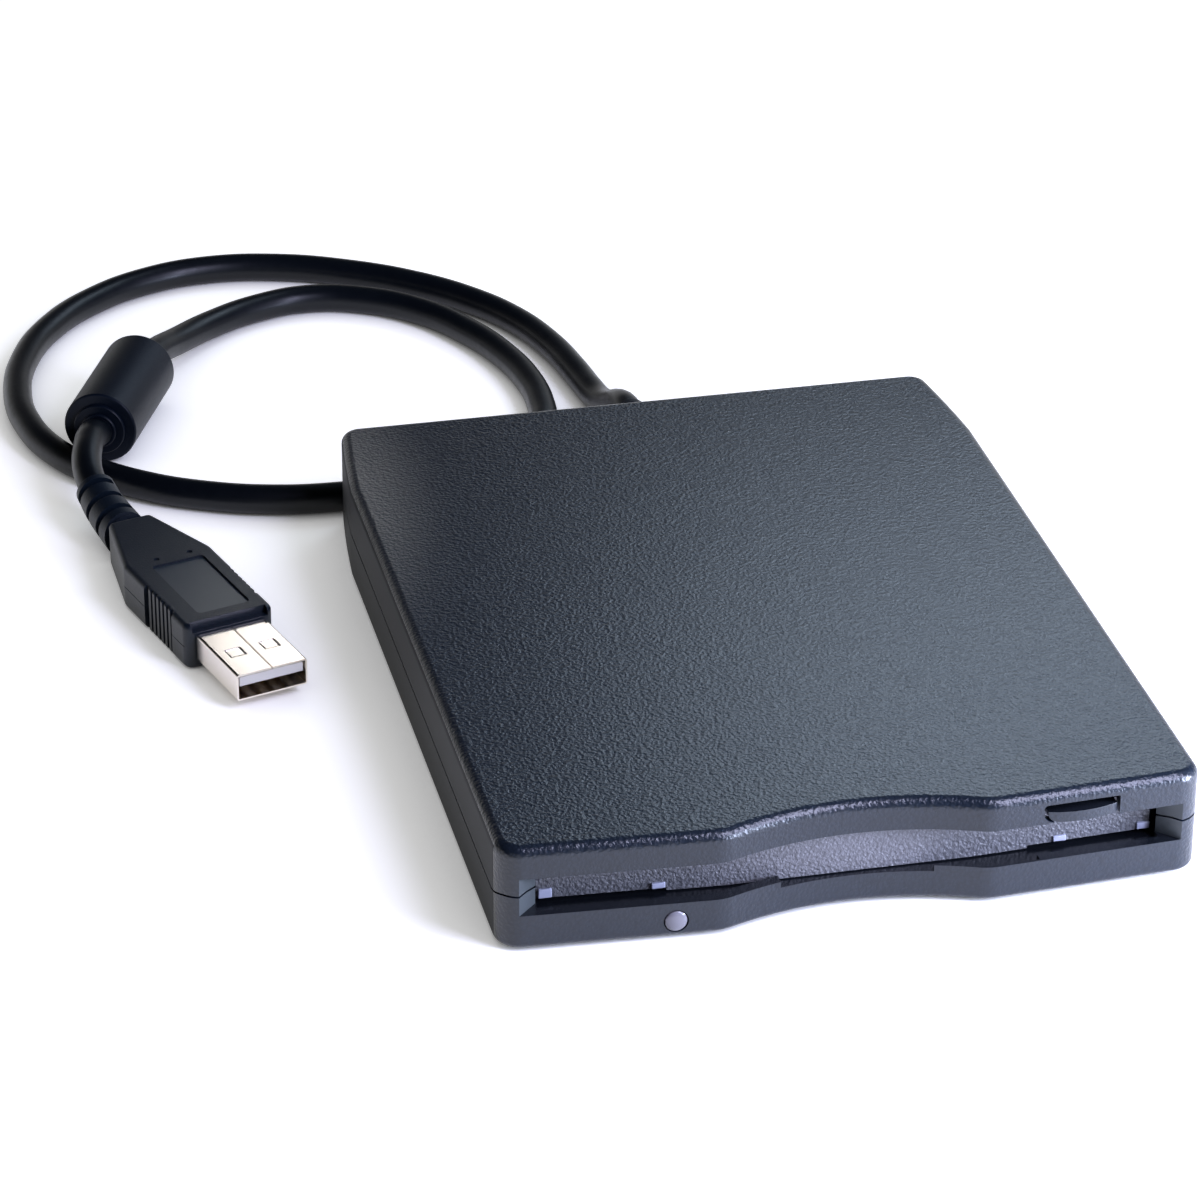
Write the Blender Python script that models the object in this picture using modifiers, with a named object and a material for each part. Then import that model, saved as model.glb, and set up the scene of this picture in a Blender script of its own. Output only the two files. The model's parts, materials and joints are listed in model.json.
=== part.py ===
"""External floppy disk drive with its USB cord.

Metres, +Z up. The front of the case looks towards -Y and +X is to the right. Heights are from
the table. Depths are written from the plane of the two front corners, and one empty moves the
whole drive back so that the origin lies under the middle of the case.
"""

import math

import bmesh
import bpy
from mathutils import Matrix, Vector

mm = 0.001

# Clearances
piece_gap = 0.3 * mm
overrun = 1.0 * mm
bite = 0.25 * mm

# Case
side_room = 2.6 * mm
rear_room = 7.0 * mm
head_room = 0.5 * mm
case_lift = 0.6 * mm
wall = 1.8 * mm
roof_thickness = 1.5 * mm
floor_thickness = 1.4 * mm
front_corner_radius = 4.0 * mm
rear_corner_radius = 3.2 * mm
top_edge_radius = 1.3 * mm
base_edge_radius = 0.8 * mm
apex_reach = 3.0 * mm
scoop_radius = 50.0 * mm
scoop_depth = 5.07 * mm
scoop_edge_radius = 7.0 * mm
rear_taper = 2.4 * mm
rear_taper_length = 22.0 * mm
taper_bow_share = 0.35
edge_share = 0.3
lamp_dome_shares = [(0, 0), (0.5, 0.12), (0.85, 0.5), (1, 1)]
side_seam_height = 8.4 * mm
front_seam_height = 9.1 * mm
seam_step_start = 1.2 * mm
seam_step_end = 4.5 * mm

# Mouth of the slot
mouth_side_room = 1.0 * mm
mouth_flare = 3.0 * mm
mouth_chamfer_depth = 2.9 * mm
mouth_floor_lift = 0.1 * mm
mouth_roof_lift = 0.8 * mm
end_block_depth = 3.0 * mm
gutter_drop = 1.0 * mm
gutter_end = 7.0 * mm
finger_notch_width = 22.6 * mm
finger_notch_shift = 0.7 * mm
finger_notch_depth = 0.95 * mm

# Door flap
flap_side_gap = 0.4 * mm
flap_face_depth = 3.0 * mm
flap_straight_width = 36.0 * mm
flap_thickness = 1.0 * mm
flap_axis_depth = 4.6 * mm
flap_axis_lift = 1.2 * mm
flap_ear_thickness = 1.0 * mm
flap_ear_radius = 0.95 * mm
flap_pin_radius = 0.6 * mm
flap_pin_length = 4.2 * mm
flap_bracket_thickness = 1.4 * mm
flap_bracket_depth = 3.4 * mm
flap_tab_width = 2.0 * mm
flap_tab_height = 1.4 * mm
flap_tab_reach = 0.35 * mm
flap_inner_tab_offset = 30.0 * mm
flap_spring_radius = 1.1 * mm
flap_spring_wire = 0.16 * mm
flap_spring_turns = 2

# Eject button
button_inset = 12.7 * mm
button_width = 10.9 * mm
button_side_gap = 0.35 * mm
button_height = 1.5 * mm
button_drop = 0.95 * mm
button_top_gap = 0.6 * mm
button_bulge = 0.9 * mm
button_end_setback = 0.35 * mm
button_cap_end = 2.4 * mm
button_stem_width = 4.6 * mm
button_tail_width = 8.6 * mm
button_tail_length = 2.3 * mm

# Activity lamp
lamp_offset = -26.5 * mm
lamp_height = 3.05 * mm
lamp_radius = 1.6 * mm
lamp_bore_radius = 1.8 * mm
lamp_reach = 0.45 * mm
lamp_length = 4.0 * mm
lamp_chip_radius = 1.3 * mm
lamp_board_width = 8.0 * mm
lamp_board_height = 2.4 * mm
lamp_board_thickness = 0.8 * mm

# Feet and case screws
foot_radius = 4.2 * mm
foot_inset = 8.5 * mm
foot_recess_depth = 0.5 * mm
foot_front_depth = 12.0 * mm
foot_rear_inset = 12.5 * mm
boss_radius = 1.8 * mm
lower_boss_radius = 2.4 * mm
lower_boss_height = 2.6 * mm
front_boss_depth = 9.6 * mm
rear_boss_inset = 12.0 * mm
screw_radius = 0.9 * mm
screw_head_radius = 1.8 * mm
screw_head_height = 1.0 * mm
screw_length = 7.6 * mm
screw_recess = 0.15 * mm
thread_depth = 4.8 * mm

# Disk, the standard size that the mechanism is made for
disk_width = 90.0 * mm
disk_hub_from_front = 48.5 * mm
disk_start_depth = 9.5 * mm
track_zero_radius = 39.5 * mm
track_travel = 14.8 * mm
load_drop = 1.8 * mm
load_travel = 4.5 * mm
press_travel = 0.6 * mm

# Chassis frame and top cover
sheet_thickness = 0.5 * mm
frame_front = 12.5 * mm
frame_tail = 4.3 * mm
frame_side_gap = 0.35 * mm
frame_wall_thickness = 0.6 * mm
motor_hole_radius = 22.6 * mm
carriage_window_width = 36.0 * mm
carriage_window_spare = 0.7 * mm
cover_front = 24.0 * mm
cover_thickness = 0.4 * mm
spring_tab_width = 2.4 * mm
spring_tab_drop = 2.4 * mm

# Disk holder
holder_side_gap = 0.25 * mm
holder_front = 15.0 * mm
holder_rear_gap = 0.6 * mm
holder_rail_height = 5.9 * mm
holder_rail_width = 4.4 * mm
holder_bay_height = 4.3 * mm
holder_window_width = 18.0 * mm
holder_window_start = 16.0 * mm
holder_pin_radius = 1.0 * mm
holder_pin_height = 8.6 * mm
holder_pin_front = 30.0 * mm
holder_pin_rear_inset = 15.2 * mm
slot_clearance = 0.3 * mm

# Cam plate
cam_side_gap = 0.4 * mm
cam_front = 12.0 * mm
cam_bar_rear = 22.0 * mm
cam_wall_front = 17.5 * mm
cam_wall_rear_inset = 5.2 * mm
cam_bar_thickness = 0.6 * mm
cam_bar_inset = 7.15 * mm
cam_floor_gap = 0.6 * mm

# Eject spring
eject_spring_inset = 16.65 * mm
eject_spring_radius = 0.8 * mm
eject_spring_wire = 0.18 * mm
eject_spring_turns = 9
eject_spring_length = 18.0 * mm

# Shutter lever
lever_pivot_x = -16.0 * mm
lever_pivot_inset = 4.2 * mm
lever_headroom = 0.7 * mm
lever_reach_share = 4 / 15
lever_width = 4.0 * mm
lever_thickness = 0.6 * mm
lever_rest_angle = math.radians(-95.0)
lever_swing = math.radians(68.0)
lever_tip_radius = 1.2 * mm
lever_tip_drop = 3.6 * mm
lever_pin_radius = 1.1 * mm
lever_pin_head = 1.9 * mm
lever_slot_clearance = 0.6 * mm

# Spindle motor
motor_board_radius = 22.0 * mm
motor_board_thickness = 0.4 * mm
stator_outer_radius = 17.1 * mm
stator_inner_radius = 12.0 * mm
stator_bore_radius = 4.6 * mm
stator_thickness = 0.5 * mm
stator_poles = 12
bearing_radius = 4.2 * mm
bearing_height = 0.6 * mm
rotor_radius = 21.0 * mm
rotor_rim = 1.9 * mm
rotor_height = 1.4 * mm
rotor_plate = 0.55 * mm
hub_radius = 12.4 * mm
hub_height = 0.6 * mm
magnet_thickness = 1.1 * mm
magnet_height = 0.6 * mm
shaft_radius = 1.9 * mm
shaft_height = 3.2 * mm
drive_pin_radius = 1.0 * mm
drive_pin_offset = 9.7 * mm
drive_pin_height = 0.8 * mm

# Head carriage
carriage_front_offset = 2.5 * mm
carriage_width = 32.8 * mm
carriage_base_height = 2.3 * mm
carriage_top_height = 4.6 * mm
carriage_length = 25.0 * mm
carriage_post_thickness = 2.4 * mm
carriage_post_width = 18.0 * mm
carriage_post_top = 11.3 * mm
rod_offset = 14.0 * mm
rod_radius = 0.7 * mm
rod_height = 3.5 * mm
rod_bore_radius = 0.95 * mm
rod_tail = 4.2 * mm
rod_stop_width = 3.6 * mm
rod_stop_lead = 2.9 * mm
head_width = 6.0 * mm
head_length = 4.6 * mm
lower_head_top = 6.0 * mm
arm_width = 10.0 * mm
arm_thickness = 0.7 * mm
arm_axis_height = 12.0 * mm
arm_axis_inset = 1.2 * mm
arm_pin_radius = 0.5 * mm
arm_pin_length = 14.0 * mm
arm_ear_width = 1.2 * mm
upper_head_base = 10.2 * mm

# Stepper and lead screw
screw_axis_x = -24.0 * mm
screw_axis_height = 8.0 * mm
lead_screw_radius = 1.4 * mm
nut_width = 6.4 * mm
nut_top = 10.4 * mm
nut_bore_radius = 1.75 * mm
screw_bracket_gap = 0.5 * mm
screw_bracket_thickness = 1.0 * mm
stepper_tab_gap = 0.4 * mm
stepper_tab_thickness = 0.6 * mm
stepper_radius = 4.4 * mm
stepper_length = 10.4 * mm

# Sensor switches
switch_inset = 7.5 * mm
switch_depth = 16.5 * mm
switch_size = 4.2 * mm
switch_height = 1.4 * mm
plunger_radius = 0.8 * mm
plunger_length = 1.5 * mm
plunger_travel = 1.0 * mm

# Boards
board_thickness = 0.8 * mm
board_carriage_gap = 3.1 * mm
main_board_gap = 2.8 * mm
board_side_gap = 0.6 * mm
chip_size = 10.0 * mm
chip_height = 1.2 * mm
chip_inset = 6.0 * mm
connector_width_share = 0.6
connector_depth = 3.6 * mm
usb_board_lift = 6.1 * mm
usb_board_setback = 3.0 * mm
usb_chip_size = 7.0 * mm

# Cable gland and inner lead
gland_offset = 2.0 * mm
gland_neck_radius = 3.4 * mm
gland_flange_radius = 4.6 * mm
gland_flange_thickness = 1.6 * mm
gland_boot_radius = 4.0 * mm
gland_tip_radius = 3.1 * mm
gland_boot_length = 11.0 * mm
inner_lead_radius = 1.1 * mm
inner_lead_straight = 1.6 * mm

# Cord, bead and plug
cord_radius = 2.5 * mm
cord_step = 7.0 * mm
cord_lead = 1.6 * mm
bead_radius = 6.3 * mm
bead_edge_radius = 0.45 * mm
bead_collar_radius = 4.2 * mm
bead_collar_length = 0.5 * mm
bead_neck_radius = 3.2 * mm
bead_neck_length = 0.6 * mm
boot_cord_radius = 3.3 * mm
boot_body_radius = 3.85 * mm
boot_step = 1.6 * mm
boot_slots = 7
boot_slot_width = 1.0 * mm
boot_slot_start_share = 0.117
boot_slot_pitch_share = 0.1414
boot_slot_lift = 0.5 * mm
boot_slot_roll = math.radians(50.0)
plug_tip_x = -71.1 * mm
plug_tip_y = 78.8 * mm
plug_heading = math.radians(16.0)
plug_axis_height = 3.95 * mm
plug_shell_width = 12.0 * mm
plug_shell_height = 4.5 * mm
plug_shell_wall = 0.3 * mm
plug_shell_length = 14.8 * mm
plug_body_width = 15.2 * mm
plug_body_height = 7.7 * mm
plug_shoulder_length = 24.0 * mm
plug_taper_length = 15.0 * mm
plug_rear_width = 7.4 * mm
plug_edge_radius = 0.9 * mm
plug_grip_length = 10.5 * mm
plug_grip_start = 5.6 * mm
plug_grip_depth = 0.7 * mm
plug_grip_ribs = 6
plug_grip_rib_width = 0.8 * mm
plug_grip_rib_height = 0.4 * mm
plug_lip_width = 13.0 * mm
plug_lip_length = 1.3 * mm
plug_window_size = 2.3 * mm
plug_window_start = 5.0 * mm
plug_window_offset = 2.9 * mm
plug_panel_length = 18.0 * mm
plug_panel_width = 8.8 * mm
plug_panel_depth = 0.35 * mm
plug_panel_start = 3.4 * mm
plug_tongue_height = 1.6 * mm
plug_contact_width = 1.0 * mm
plug_contact_thickness = 0.2 * mm
plug_contact_length = 7.4 * mm
plug_contact_pitch = 2.25 * mm

# Round pieces have this many flats
fine_sides = 40
round_sides = 20
small_sides = 12

# Depths of the mechanism, from the disk's place to the rear of the case
spindle_depth = disk_start_depth + disk_hub_from_front
head_depth = spindle_depth + track_zero_radius
carriage_rear = head_depth + carriage_length
carriage_window_front = (
    head_depth - carriage_front_offset - track_travel - carriage_window_spare
)
rod_stop_front = carriage_window_front - rod_stop_lead
rod_rear = carriage_rear + rod_tail
screw_bracket_rear = (
    carriage_rear - carriage_post_thickness - track_travel - screw_bracket_gap
)
screw_bracket_front = screw_bracket_rear - screw_bracket_thickness
lead_screw_front = screw_bracket_rear + piece_gap
stepper_tab_front = carriage_rear + stepper_tab_gap
frame_rear = rod_rear + frame_tail
case_depth = frame_rear + rear_room
rear_boss_depth = case_depth - wall - lower_boss_radius + bite
gland_rear = case_depth + piece_gap + gland_boot_length
holder_rear = screw_bracket_front - holder_rear_gap
holder_window_front = spindle_depth + holder_window_start
holder_pin_rear = holder_rear - holder_pin_rear_inset
cam_wall_rear = holder_rear - cam_wall_rear_inset
lever_pivot_y = holder_rear - lever_pivot_inset
main_board_front = holder_rear + main_board_gap
usb_board_front = main_board_front + usb_board_setback

# Widths, from the disk to the sides of the case
holder_half = disk_width / 2 + holder_side_gap
cam_inner = holder_half + sheet_thickness + cam_side_gap
cam_outer = cam_inner + sheet_thickness
half_cam_bar = cam_outer - cam_bar_inset
eject_spring_offset = eject_spring_inset - cam_outer
half_frame = cam_outer + frame_side_gap + frame_wall_thickness
inner_half_width = half_frame + side_room
half_width = inner_half_width + wall
half_throat = disk_width / 2 + mouth_side_room
half_mouth = half_throat + mouth_flare
button_centre = half_throat - button_inset
front_boss_offset = inner_half_width - piece_gap - boss_radius
rear_boss_offset = half_width - rear_boss_inset
lever_reach = disk_width * lever_reach_share
switch_offset = disk_width / 2 - switch_inset
board_right = half_frame - frame_wall_thickness - board_side_gap
main_board_left = carriage_width / 2 + board_carriage_gap

# Heights, from the floor of the case to its roof
inner_floor = case_lift + floor_thickness
frame_base = inner_floor + piece_gap
frame_top = frame_base + sheet_thickness
motor_base = frame_base + motor_board_thickness + piece_gap
usb_board_height = frame_base + usb_board_lift
holder_roof = holder_rail_height + sheet_thickness + holder_bay_height
holder_top = holder_roof + sheet_thickness
lever_low = holder_top + piece_gap
lever_pin_low = lever_low + lever_thickness + piece_gap
cam_bar_height = lever_pin_low + sheet_thickness + lever_headroom
frame_wall_top = cam_bar_height + cam_bar_thickness
cover_low = frame_wall_top + piece_gap
inner_roof = cover_low + cover_thickness + head_room
case_height = inner_roof + roof_thickness
mouth_floor_height = holder_rail_height + mouth_floor_lift
mouth_roof_height = holder_top + mouth_roof_lift
gutter_height = mouth_floor_height - gutter_drop
flap_base_height = mouth_floor_height - piece_gap
flap_top_height = mouth_roof_height - piece_gap
flap_axis_height = mouth_roof_height + flap_axis_lift
button_base_height = cam_bar_height - button_drop
button_top_height = button_base_height + button_height
button_notch_top = button_top_height + button_top_gap
drop_per_travel = load_drop / load_travel

# The cord's route, read from the gland to the bead and from the bead to the plug
bead_ends = [(-75.6, 191.2, 6.35), (-86.4, 166.5, 6.35)]
bead_far, bead_near = (Vector(p) * mm for p in bead_ends)
first_route = [
    (2.0, 152.8, 8.25), (1.8, 157.0, 7.0), (1.4, 161.5, 4.8),
    (0.9, 166.5, 3.1), (0.2, 173.0, 2.58), (-0.7, 181.0, 2.55), (-2.7, 192.5, 2.55),
    (-6.6, 203.8, 2.55), (-12.4, 213.4, 2.55), (-20.8, 222.4, 2.55), (-31.8, 230.1, 2.55),
    (-44.5, 235.6, 2.55), (-57.5, 237.2, 2.55), (-69.2, 234.4, 2.55), (-79.5, 227.9, 2.55),
    (-88.2, 218.2, 2.55), (-94.4, 205.6, 2.55), (-97.3, 191.5, 2.55), (-96.9, 179.5, 2.55),
    (-93.9, 168.6, 2.55), (-88.9, 160.2, 2.55), (-81.2, 152.4, 2.55), (-71.4, 146.3, 2.55),
    (-60.0, 142.3, 2.55), (-50.0, 141.1, 2.55), (-40.5, 141.5, 2.55), (-30.6, 143.0, 2.55),
    (-21.4, 147.0, 2.55), (-14.6, 153.2, 2.55), (-10.7, 160.6, 2.55), (-9.3, 169.0, 2.55),
    (-9.4, 178.4, 2.55), (-11.4, 189.2, 2.55), (-15.6, 200.2, 2.55), (-22.4, 210.9, 2.55),
    (-31.4, 217.9, 2.55), (-41.4, 220.6, 2.55), (-51.4, 218.2, 2.6), (-60.4, 212.4, 2.9),
    (-67.4, 204.8, 3.9), (-72.4, 197.3, 5.6),
]
second_route = [
    (-88.2, 161.4, 7.95), (-89.3, 157.0, 8.1), (-90.1, 152.6, 7.7), (-90.2, 148.6, 7.0),
]
boot_route = [(-89.7, 144.9, 6.2), (-88.5, 139.3, 5.0)]
boot_start, boot_middle = (Vector(p) * mm for p in boot_route)


def empty_scene():
    for item in list(bpy.data.objects):
        bpy.data.objects.remove(item, do_unlink=True)


def new_collection(name):
    made = bpy.data.collections.new(name)
    bpy.context.scene.collection.children.link(made)
    return made


empty_scene()
parts = new_collection("external_floppy_drive")
cutters = new_collection("cutters")
centre = bpy.data.objects.new("case_centre", None)
parts.objects.link(centre)


def material(name, colour, roughness, metallic=0.0):
    made = bpy.data.materials.new(name)
    made.use_nodes = True
    shader = made.node_tree.nodes["Principled BSDF"]
    shader.inputs["Base Color"].default_value = (*colour, 1.0)
    shader.inputs["Roughness"].default_value = roughness
    shader.inputs["Metallic"].default_value = metallic
    return made


def move_to(item, collection):
    for old in list(item.users_collection):
        old.objects.unlink(item)
    collection.objects.link(item)
    item.parent = centre


def finish(item, name, colour, roughness=0.5, metallic=0.0, smooth=True):
    """Makes an object one of the drive's pieces, with its own material."""
    item.name = name
    item.data.name = name
    move_to(item, parts)
    item.data.materials.clear()
    item.data.materials.append(material(name, colour, roughness, metallic))
    if smooth:
        item.data.shade_smooth()
        item.data.set_sharp_from_angle(angle=math.radians(35))
    return item


def tool(item):
    """Makes an object a shape that only cuts or joins others."""
    move_to(item, cutters)
    item.hide_render = True
    item.display_type = "WIRE"
    return item


def combine(item, other, operation):
    step = item.modifiers.new(operation.lower(), "BOOLEAN")
    step.operation = operation
    step.solver = "EXACT"
    step.object = tool(other)
    return item


def cut(item, *others):
    for other in others:
        combine(item, other, "DIFFERENCE")
    return item


def join(item, *others):
    for other in others:
        combine(item, other, "UNION")
    return item


def round_edges(item, width, segments=2, angle=40):
    step = item.modifiers.new("round edges", "BEVEL")
    step.width = width
    step.segments = segments
    step.limit_method = "ANGLE"
    step.angle_limit = math.radians(angle)
    return item


def box(low, high):
    low, high = Vector(low), Vector(high)
    bpy.ops.mesh.primitive_cube_add(size=1, location=(low + high) / 2)
    item = bpy.context.object
    for vertex in item.data.vertices:
        vertex.co = [a * b for a, b in zip(vertex.co, high - low)]
    return item


def rod(radius, start, end, sides=small_sides):
    """A cylinder from one point to another."""
    start, end = Vector(start), Vector(end)
    bpy.ops.mesh.primitive_cylinder_add(
        vertices=sides, radius=radius, depth=(end - start).length, location=(start + end) / 2
    )
    item = bpy.context.object
    item.rotation_euler = (end - start).to_track_quat("Z", "Y").to_euler()
    return item


def mesh_from(item, flatten=True):
    """A closed mesh object from a curve object, with its caps welded."""
    bpy.context.view_layer.update()
    graph = bpy.context.evaluated_depsgraph_get()
    mesh = bpy.data.meshes.new_from_object(item.evaluated_get(graph))
    work = bmesh.new()
    work.from_mesh(mesh)
    bmesh.ops.remove_doubles(work, verts=work.verts, dist=overrun * 1e-3)
    if flatten:
        bmesh.ops.dissolve_limit(
            work, angle_limit=math.radians(0.5), verts=work.verts, edges=work.edges
        )
    bmesh.ops.recalc_face_normals(work, faces=work.faces)
    work.to_mesh(mesh)
    work.free()
    made = bpy.data.objects.new(item.name, mesh)
    made.matrix_world = item.matrix_world.copy()
    parts.objects.link(made)
    bpy.data.objects.remove(item, do_unlink=True)
    return made


def slab(outline, low, high, along="Z"):
    """A flat outline made solid between two places along an axis.

    The outline's pairs are (x, y) along Z, (y, z) along X and (x, z) along Y.
    """
    curve = bpy.data.curves.new("outline", "CURVE")
    curve.dimensions = "2D"
    curve.fill_mode = "BOTH"
    curve.extrude = (high - low) / 2
    line = curve.splines.new("POLY")
    line.points.add(len(outline) - 1)
    for point, place in zip(line.points, outline):
        point.co = (place[0], place[1], 0, 1)
    line.use_cyclic_u = True
    item = bpy.data.objects.new("outline", curve)
    middle = (low + high) / 2
    if along == "Z":
        item.location = (0, 0, middle)
    elif along == "X":
        item.rotation_euler = (math.pi / 2, 0, math.pi / 2)
        item.location = (middle, 0, 0)
    else:
        item.rotation_euler = (math.pi / 2, 0, 0)
        item.location = (0, middle, 0)
    parts.objects.link(item)
    return mesh_from(item)


def turned(profile, sides, closed=False):
    """A shape turned about Z from (radius, height) pairs that run down the outer side."""
    mesh = bpy.data.meshes.new("profile")
    count = len(profile)
    edges = [(i, i + 1) for i in range(count - 1)] + ([(count - 1, 0)] if closed else [])
    mesh.from_pydata([(r, 0, h) for r, h in profile], edges, [])
    item = bpy.data.objects.new("profile", mesh)
    parts.objects.link(item)
    step = item.modifiers.new("turn", "SCREW")
    step.steps = sides
    step.render_steps = sides
    step.use_merge_vertices = True
    step.merge_threshold = overrun * 1e-2
    return item


def tube(points, radius, fineness=2, radii_shares=None):
    """A round bar along a list of points, with its ends closed."""
    curve = bpy.data.curves.new("tube", "CURVE")
    curve.dimensions = "3D"
    curve.bevel_depth = radius
    curve.bevel_resolution = fineness
    curve.use_fill_caps = True
    line = curve.splines.new("POLY")
    line.points.add(len(points) - 1)
    for i, (point, place) in enumerate(zip(line.points, points)):
        point.co = (*place, 1)
        point.radius = radii_shares[i] if radii_shares else 1.0
    item = bpy.data.objects.new("tube", curve)
    parts.objects.link(item)
    return mesh_from(item, flatten=False)


def set_origin(item, place):
    """Puts a piece's origin on a point, such as its joint's axis, without moving its shape."""
    place = Vector(place)
    bpy.context.view_layer.update()
    matrix = item.matrix_world.copy()
    for vertex in item.data.vertices:
        vertex.co = matrix @ vertex.co - place
    item.rotation_euler = (0, 0, 0)
    item.location = place
    return item


def smooth_line(route, step):
    """Points a step apart on the smooth curve through the points of a route."""
    route = [Vector(p) for p in route]
    route = [2 * route[0] - route[1], *route, 2 * route[-1] - route[-2]]
    fine = []
    pieces = 24
    for a, b, c, d in zip(route, route[1:], route[2:], route[3:]):
        for i in range(pieces):
            t = i / pieces
            fine.append(
                (2 * b + (c - a) * t + (2 * a - 5 * b + 4 * c - d) * t**2
                 + (3 * b - a - 3 * c + d) * t**3) / 2
            )
    fine.append(route[-2])
    along = [0.0]
    for a, b in zip(fine, fine[1:]):
        along.append(along[-1] + (b - a).length)
    count = max(2, round(along[-1] / step))
    line, i = [], 0
    for k in range(count + 1):
        at = along[-1] * k / count
        while i < len(along) - 2 and along[i + 1] < at:
            i += 1
        share = (at - along[i]) / max(along[i + 1] - along[i], step * 1e-6)
        line.append(fine[i].lerp(fine[i + 1], share))
    return line, along[-1]


def arc(centre_point, radius, start, end, steps):
    """Points on an arc, its ends among them."""
    return [
        (centre_point[0] + radius * math.cos(start + (end - start) * i / steps),
         centre_point[1] + radius * math.sin(start + (end - start) * i / steps))
        for i in range(steps + 1)
    ]


def capsule(start, end, radius, steps=5):
    """The outline of a slot with round ends."""
    angle = math.atan2(end[1] - start[1], end[0] - start[0])
    quarter = math.pi / 2
    return arc(start, radius, angle + quarter, angle + 3 * quarter, steps) + arc(
        end, radius, angle - quarter, angle + quarter, steps
    )


def rounded(corners, steps=5):
    """An outline whose corners (x, y, radius) are turned into arcs."""
    out = []
    for i, (x, y, radius) in enumerate(corners):
        here = Vector((x, y))
        if radius == 0:
            out.append((x, y))
            continue
        before = (Vector(corners[i - 1][:2]) - here).normalized()
        after = (Vector(corners[(i + 1) % len(corners)][:2]) - here).normalized()
        half = before.angle(after) / 2
        middle = here + (before + after).normalized() * radius / math.sin(half)
        start = here + before * radius / math.tan(half) - middle
        end = here + after * radius / math.tan(half) - middle
        turn = start.angle_signed(end)
        first = math.atan2(start.y, start.x)
        out += arc(middle, radius, first, first - turn, steps)
    return out


def inset(outline, distance):
    """The outline moved inwards all round; it runs anticlockwise."""
    out = []
    count = len(outline)
    for i in range(count):
        a, b, c = (Vector(outline[(i + k) % count]) for k in (-1, 0, 1))
        first, second = (b - a).normalized(), (c - b).normalized()
        n, m = Vector((-first.y, first.x)), Vector((-second.y, second.x))
        out.append(tuple(b + (n + m) * distance / (1 + n.dot(m))))
    return out


def wing(x):
    """Depth of the front's two straight wings, which meet in an apex before the scoop."""
    return apex_reach * (abs(x) / half_width - 1)


def case_outline():
    """The case seen from above, anticlockwise from the front left corner."""
    slope = apex_reach / half_width
    floor_y = scoop_depth - apex_reach
    middle_y = floor_y - scoop_radius
    total = apex_reach + middle_y
    a, b, c = 1 + slope**2, -2 * slope * total, total**2 - scoop_radius**2
    edge = (-b + math.sqrt(b * b - 4 * a * c)) / (2 * a)
    steps = 10
    scoop = []
    for i in range(steps + 1):
        x = edge * (2 * i / steps - 1)
        y = middle_y + math.sqrt(scoop_radius**2 - x * x)
        scoop.append((x, y, scoop_edge_radius if i in (0, steps) else 0))
    side = []
    steps = 4
    for i in range(steps):
        t = i / steps
        side.append((
            half_width - rear_taper * t * (1 - taper_bow_share + taper_bow_share * t),
            case_depth - rear_taper_length * (1 - t),
            0,
        ))
    side.append((half_width - rear_taper, case_depth, rear_corner_radius))
    front = (half_width, 0, front_corner_radius)
    corners = [(-front[0], *front[1:]), *scoop, front, *side]
    corners += [(-x, y, r) for x, y, r in reversed(side)]
    return rounded(corners, steps=4)


outline = case_outline()
front_edge = min(y for _, y in outline)
foremost = wing(lamp_offset) - lamp_reach
centre.location = (0, -(foremost + case_depth) / 2, 0)


def rim(item, height, radius, segments):
    """Rounds the outer edge of a slab at one height."""
    mesh = item.data
    matrix = item.matrix_world
    weights = mesh.attributes.new("bevel_weight_edge", "FLOAT", "EDGE")
    for edge in mesh.edges:
        ends = [(matrix @ mesh.vertices[v].co).z for v in edge.vertices]
        if all(abs(z - height) < bite for z in ends):
            weights.data[edge.index].value = 1.0
    step = item.modifiers.new("rim", "BEVEL")
    step.width = radius
    step.segments = segments
    step.limit_method = "WEIGHT"
    return item


def mouth_shape():
    """The mouth of the slot, whose ends narrow towards the flap."""
    depth = gutter_end + overrun
    front = front_edge - overrun
    return slab(
        [(-half_mouth, front), (half_mouth, front), (half_mouth, wing(half_mouth)),
         (half_throat, mouth_chamfer_depth), (half_throat, depth), (-half_throat, depth),
         (-half_throat, mouth_chamfer_depth), (-half_mouth, wing(half_mouth))],
        mouth_floor_height, mouth_roof_height,
    )


def seam_shape(lift, up):
    """All that lies on one side of the line where the two shells meet."""
    front, rear = front_edge - overrun, case_depth + overrun
    far = case_height + overrun if up else -overrun
    return slab(
        [(front, far), (rear, far), (rear, side_seam_height + lift),
         (seam_step_end, side_seam_height + lift), (seam_step_start, front_seam_height + lift),
         (front, front_seam_height + lift)],
        -half_width - overrun, half_width + overrun, "X",
    )


def gland_hole():
    place = Vector((gland_offset, case_depth - wall - overrun, side_seam_height))
    radius = gland_neck_radius + piece_gap
    return rod(radius, place, place + Vector((0, wall + 2 * overrun, 0)), round_sides)


def boss_places():
    return {
        "front_left": (-front_boss_offset, front_boss_depth),
        "front_right": (front_boss_offset, front_boss_depth),
        "rear_left": (-rear_boss_offset, rear_boss_depth),
        "rear_right": (rear_boss_offset, rear_boss_depth),
    }


def end_blocks(low, high):
    """The thick ends of the front wall, which the mouth's chamfers are cut in."""
    edge = inner_half_width + bite
    front = wing(half_throat) + wall / 2
    return [
        box((side * half_throat if side > 0 else -edge, front, low),
            (edge if side > 0 else side * half_throat, end_block_depth, high))
        for side in (-1, 1)
    ]


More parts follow.
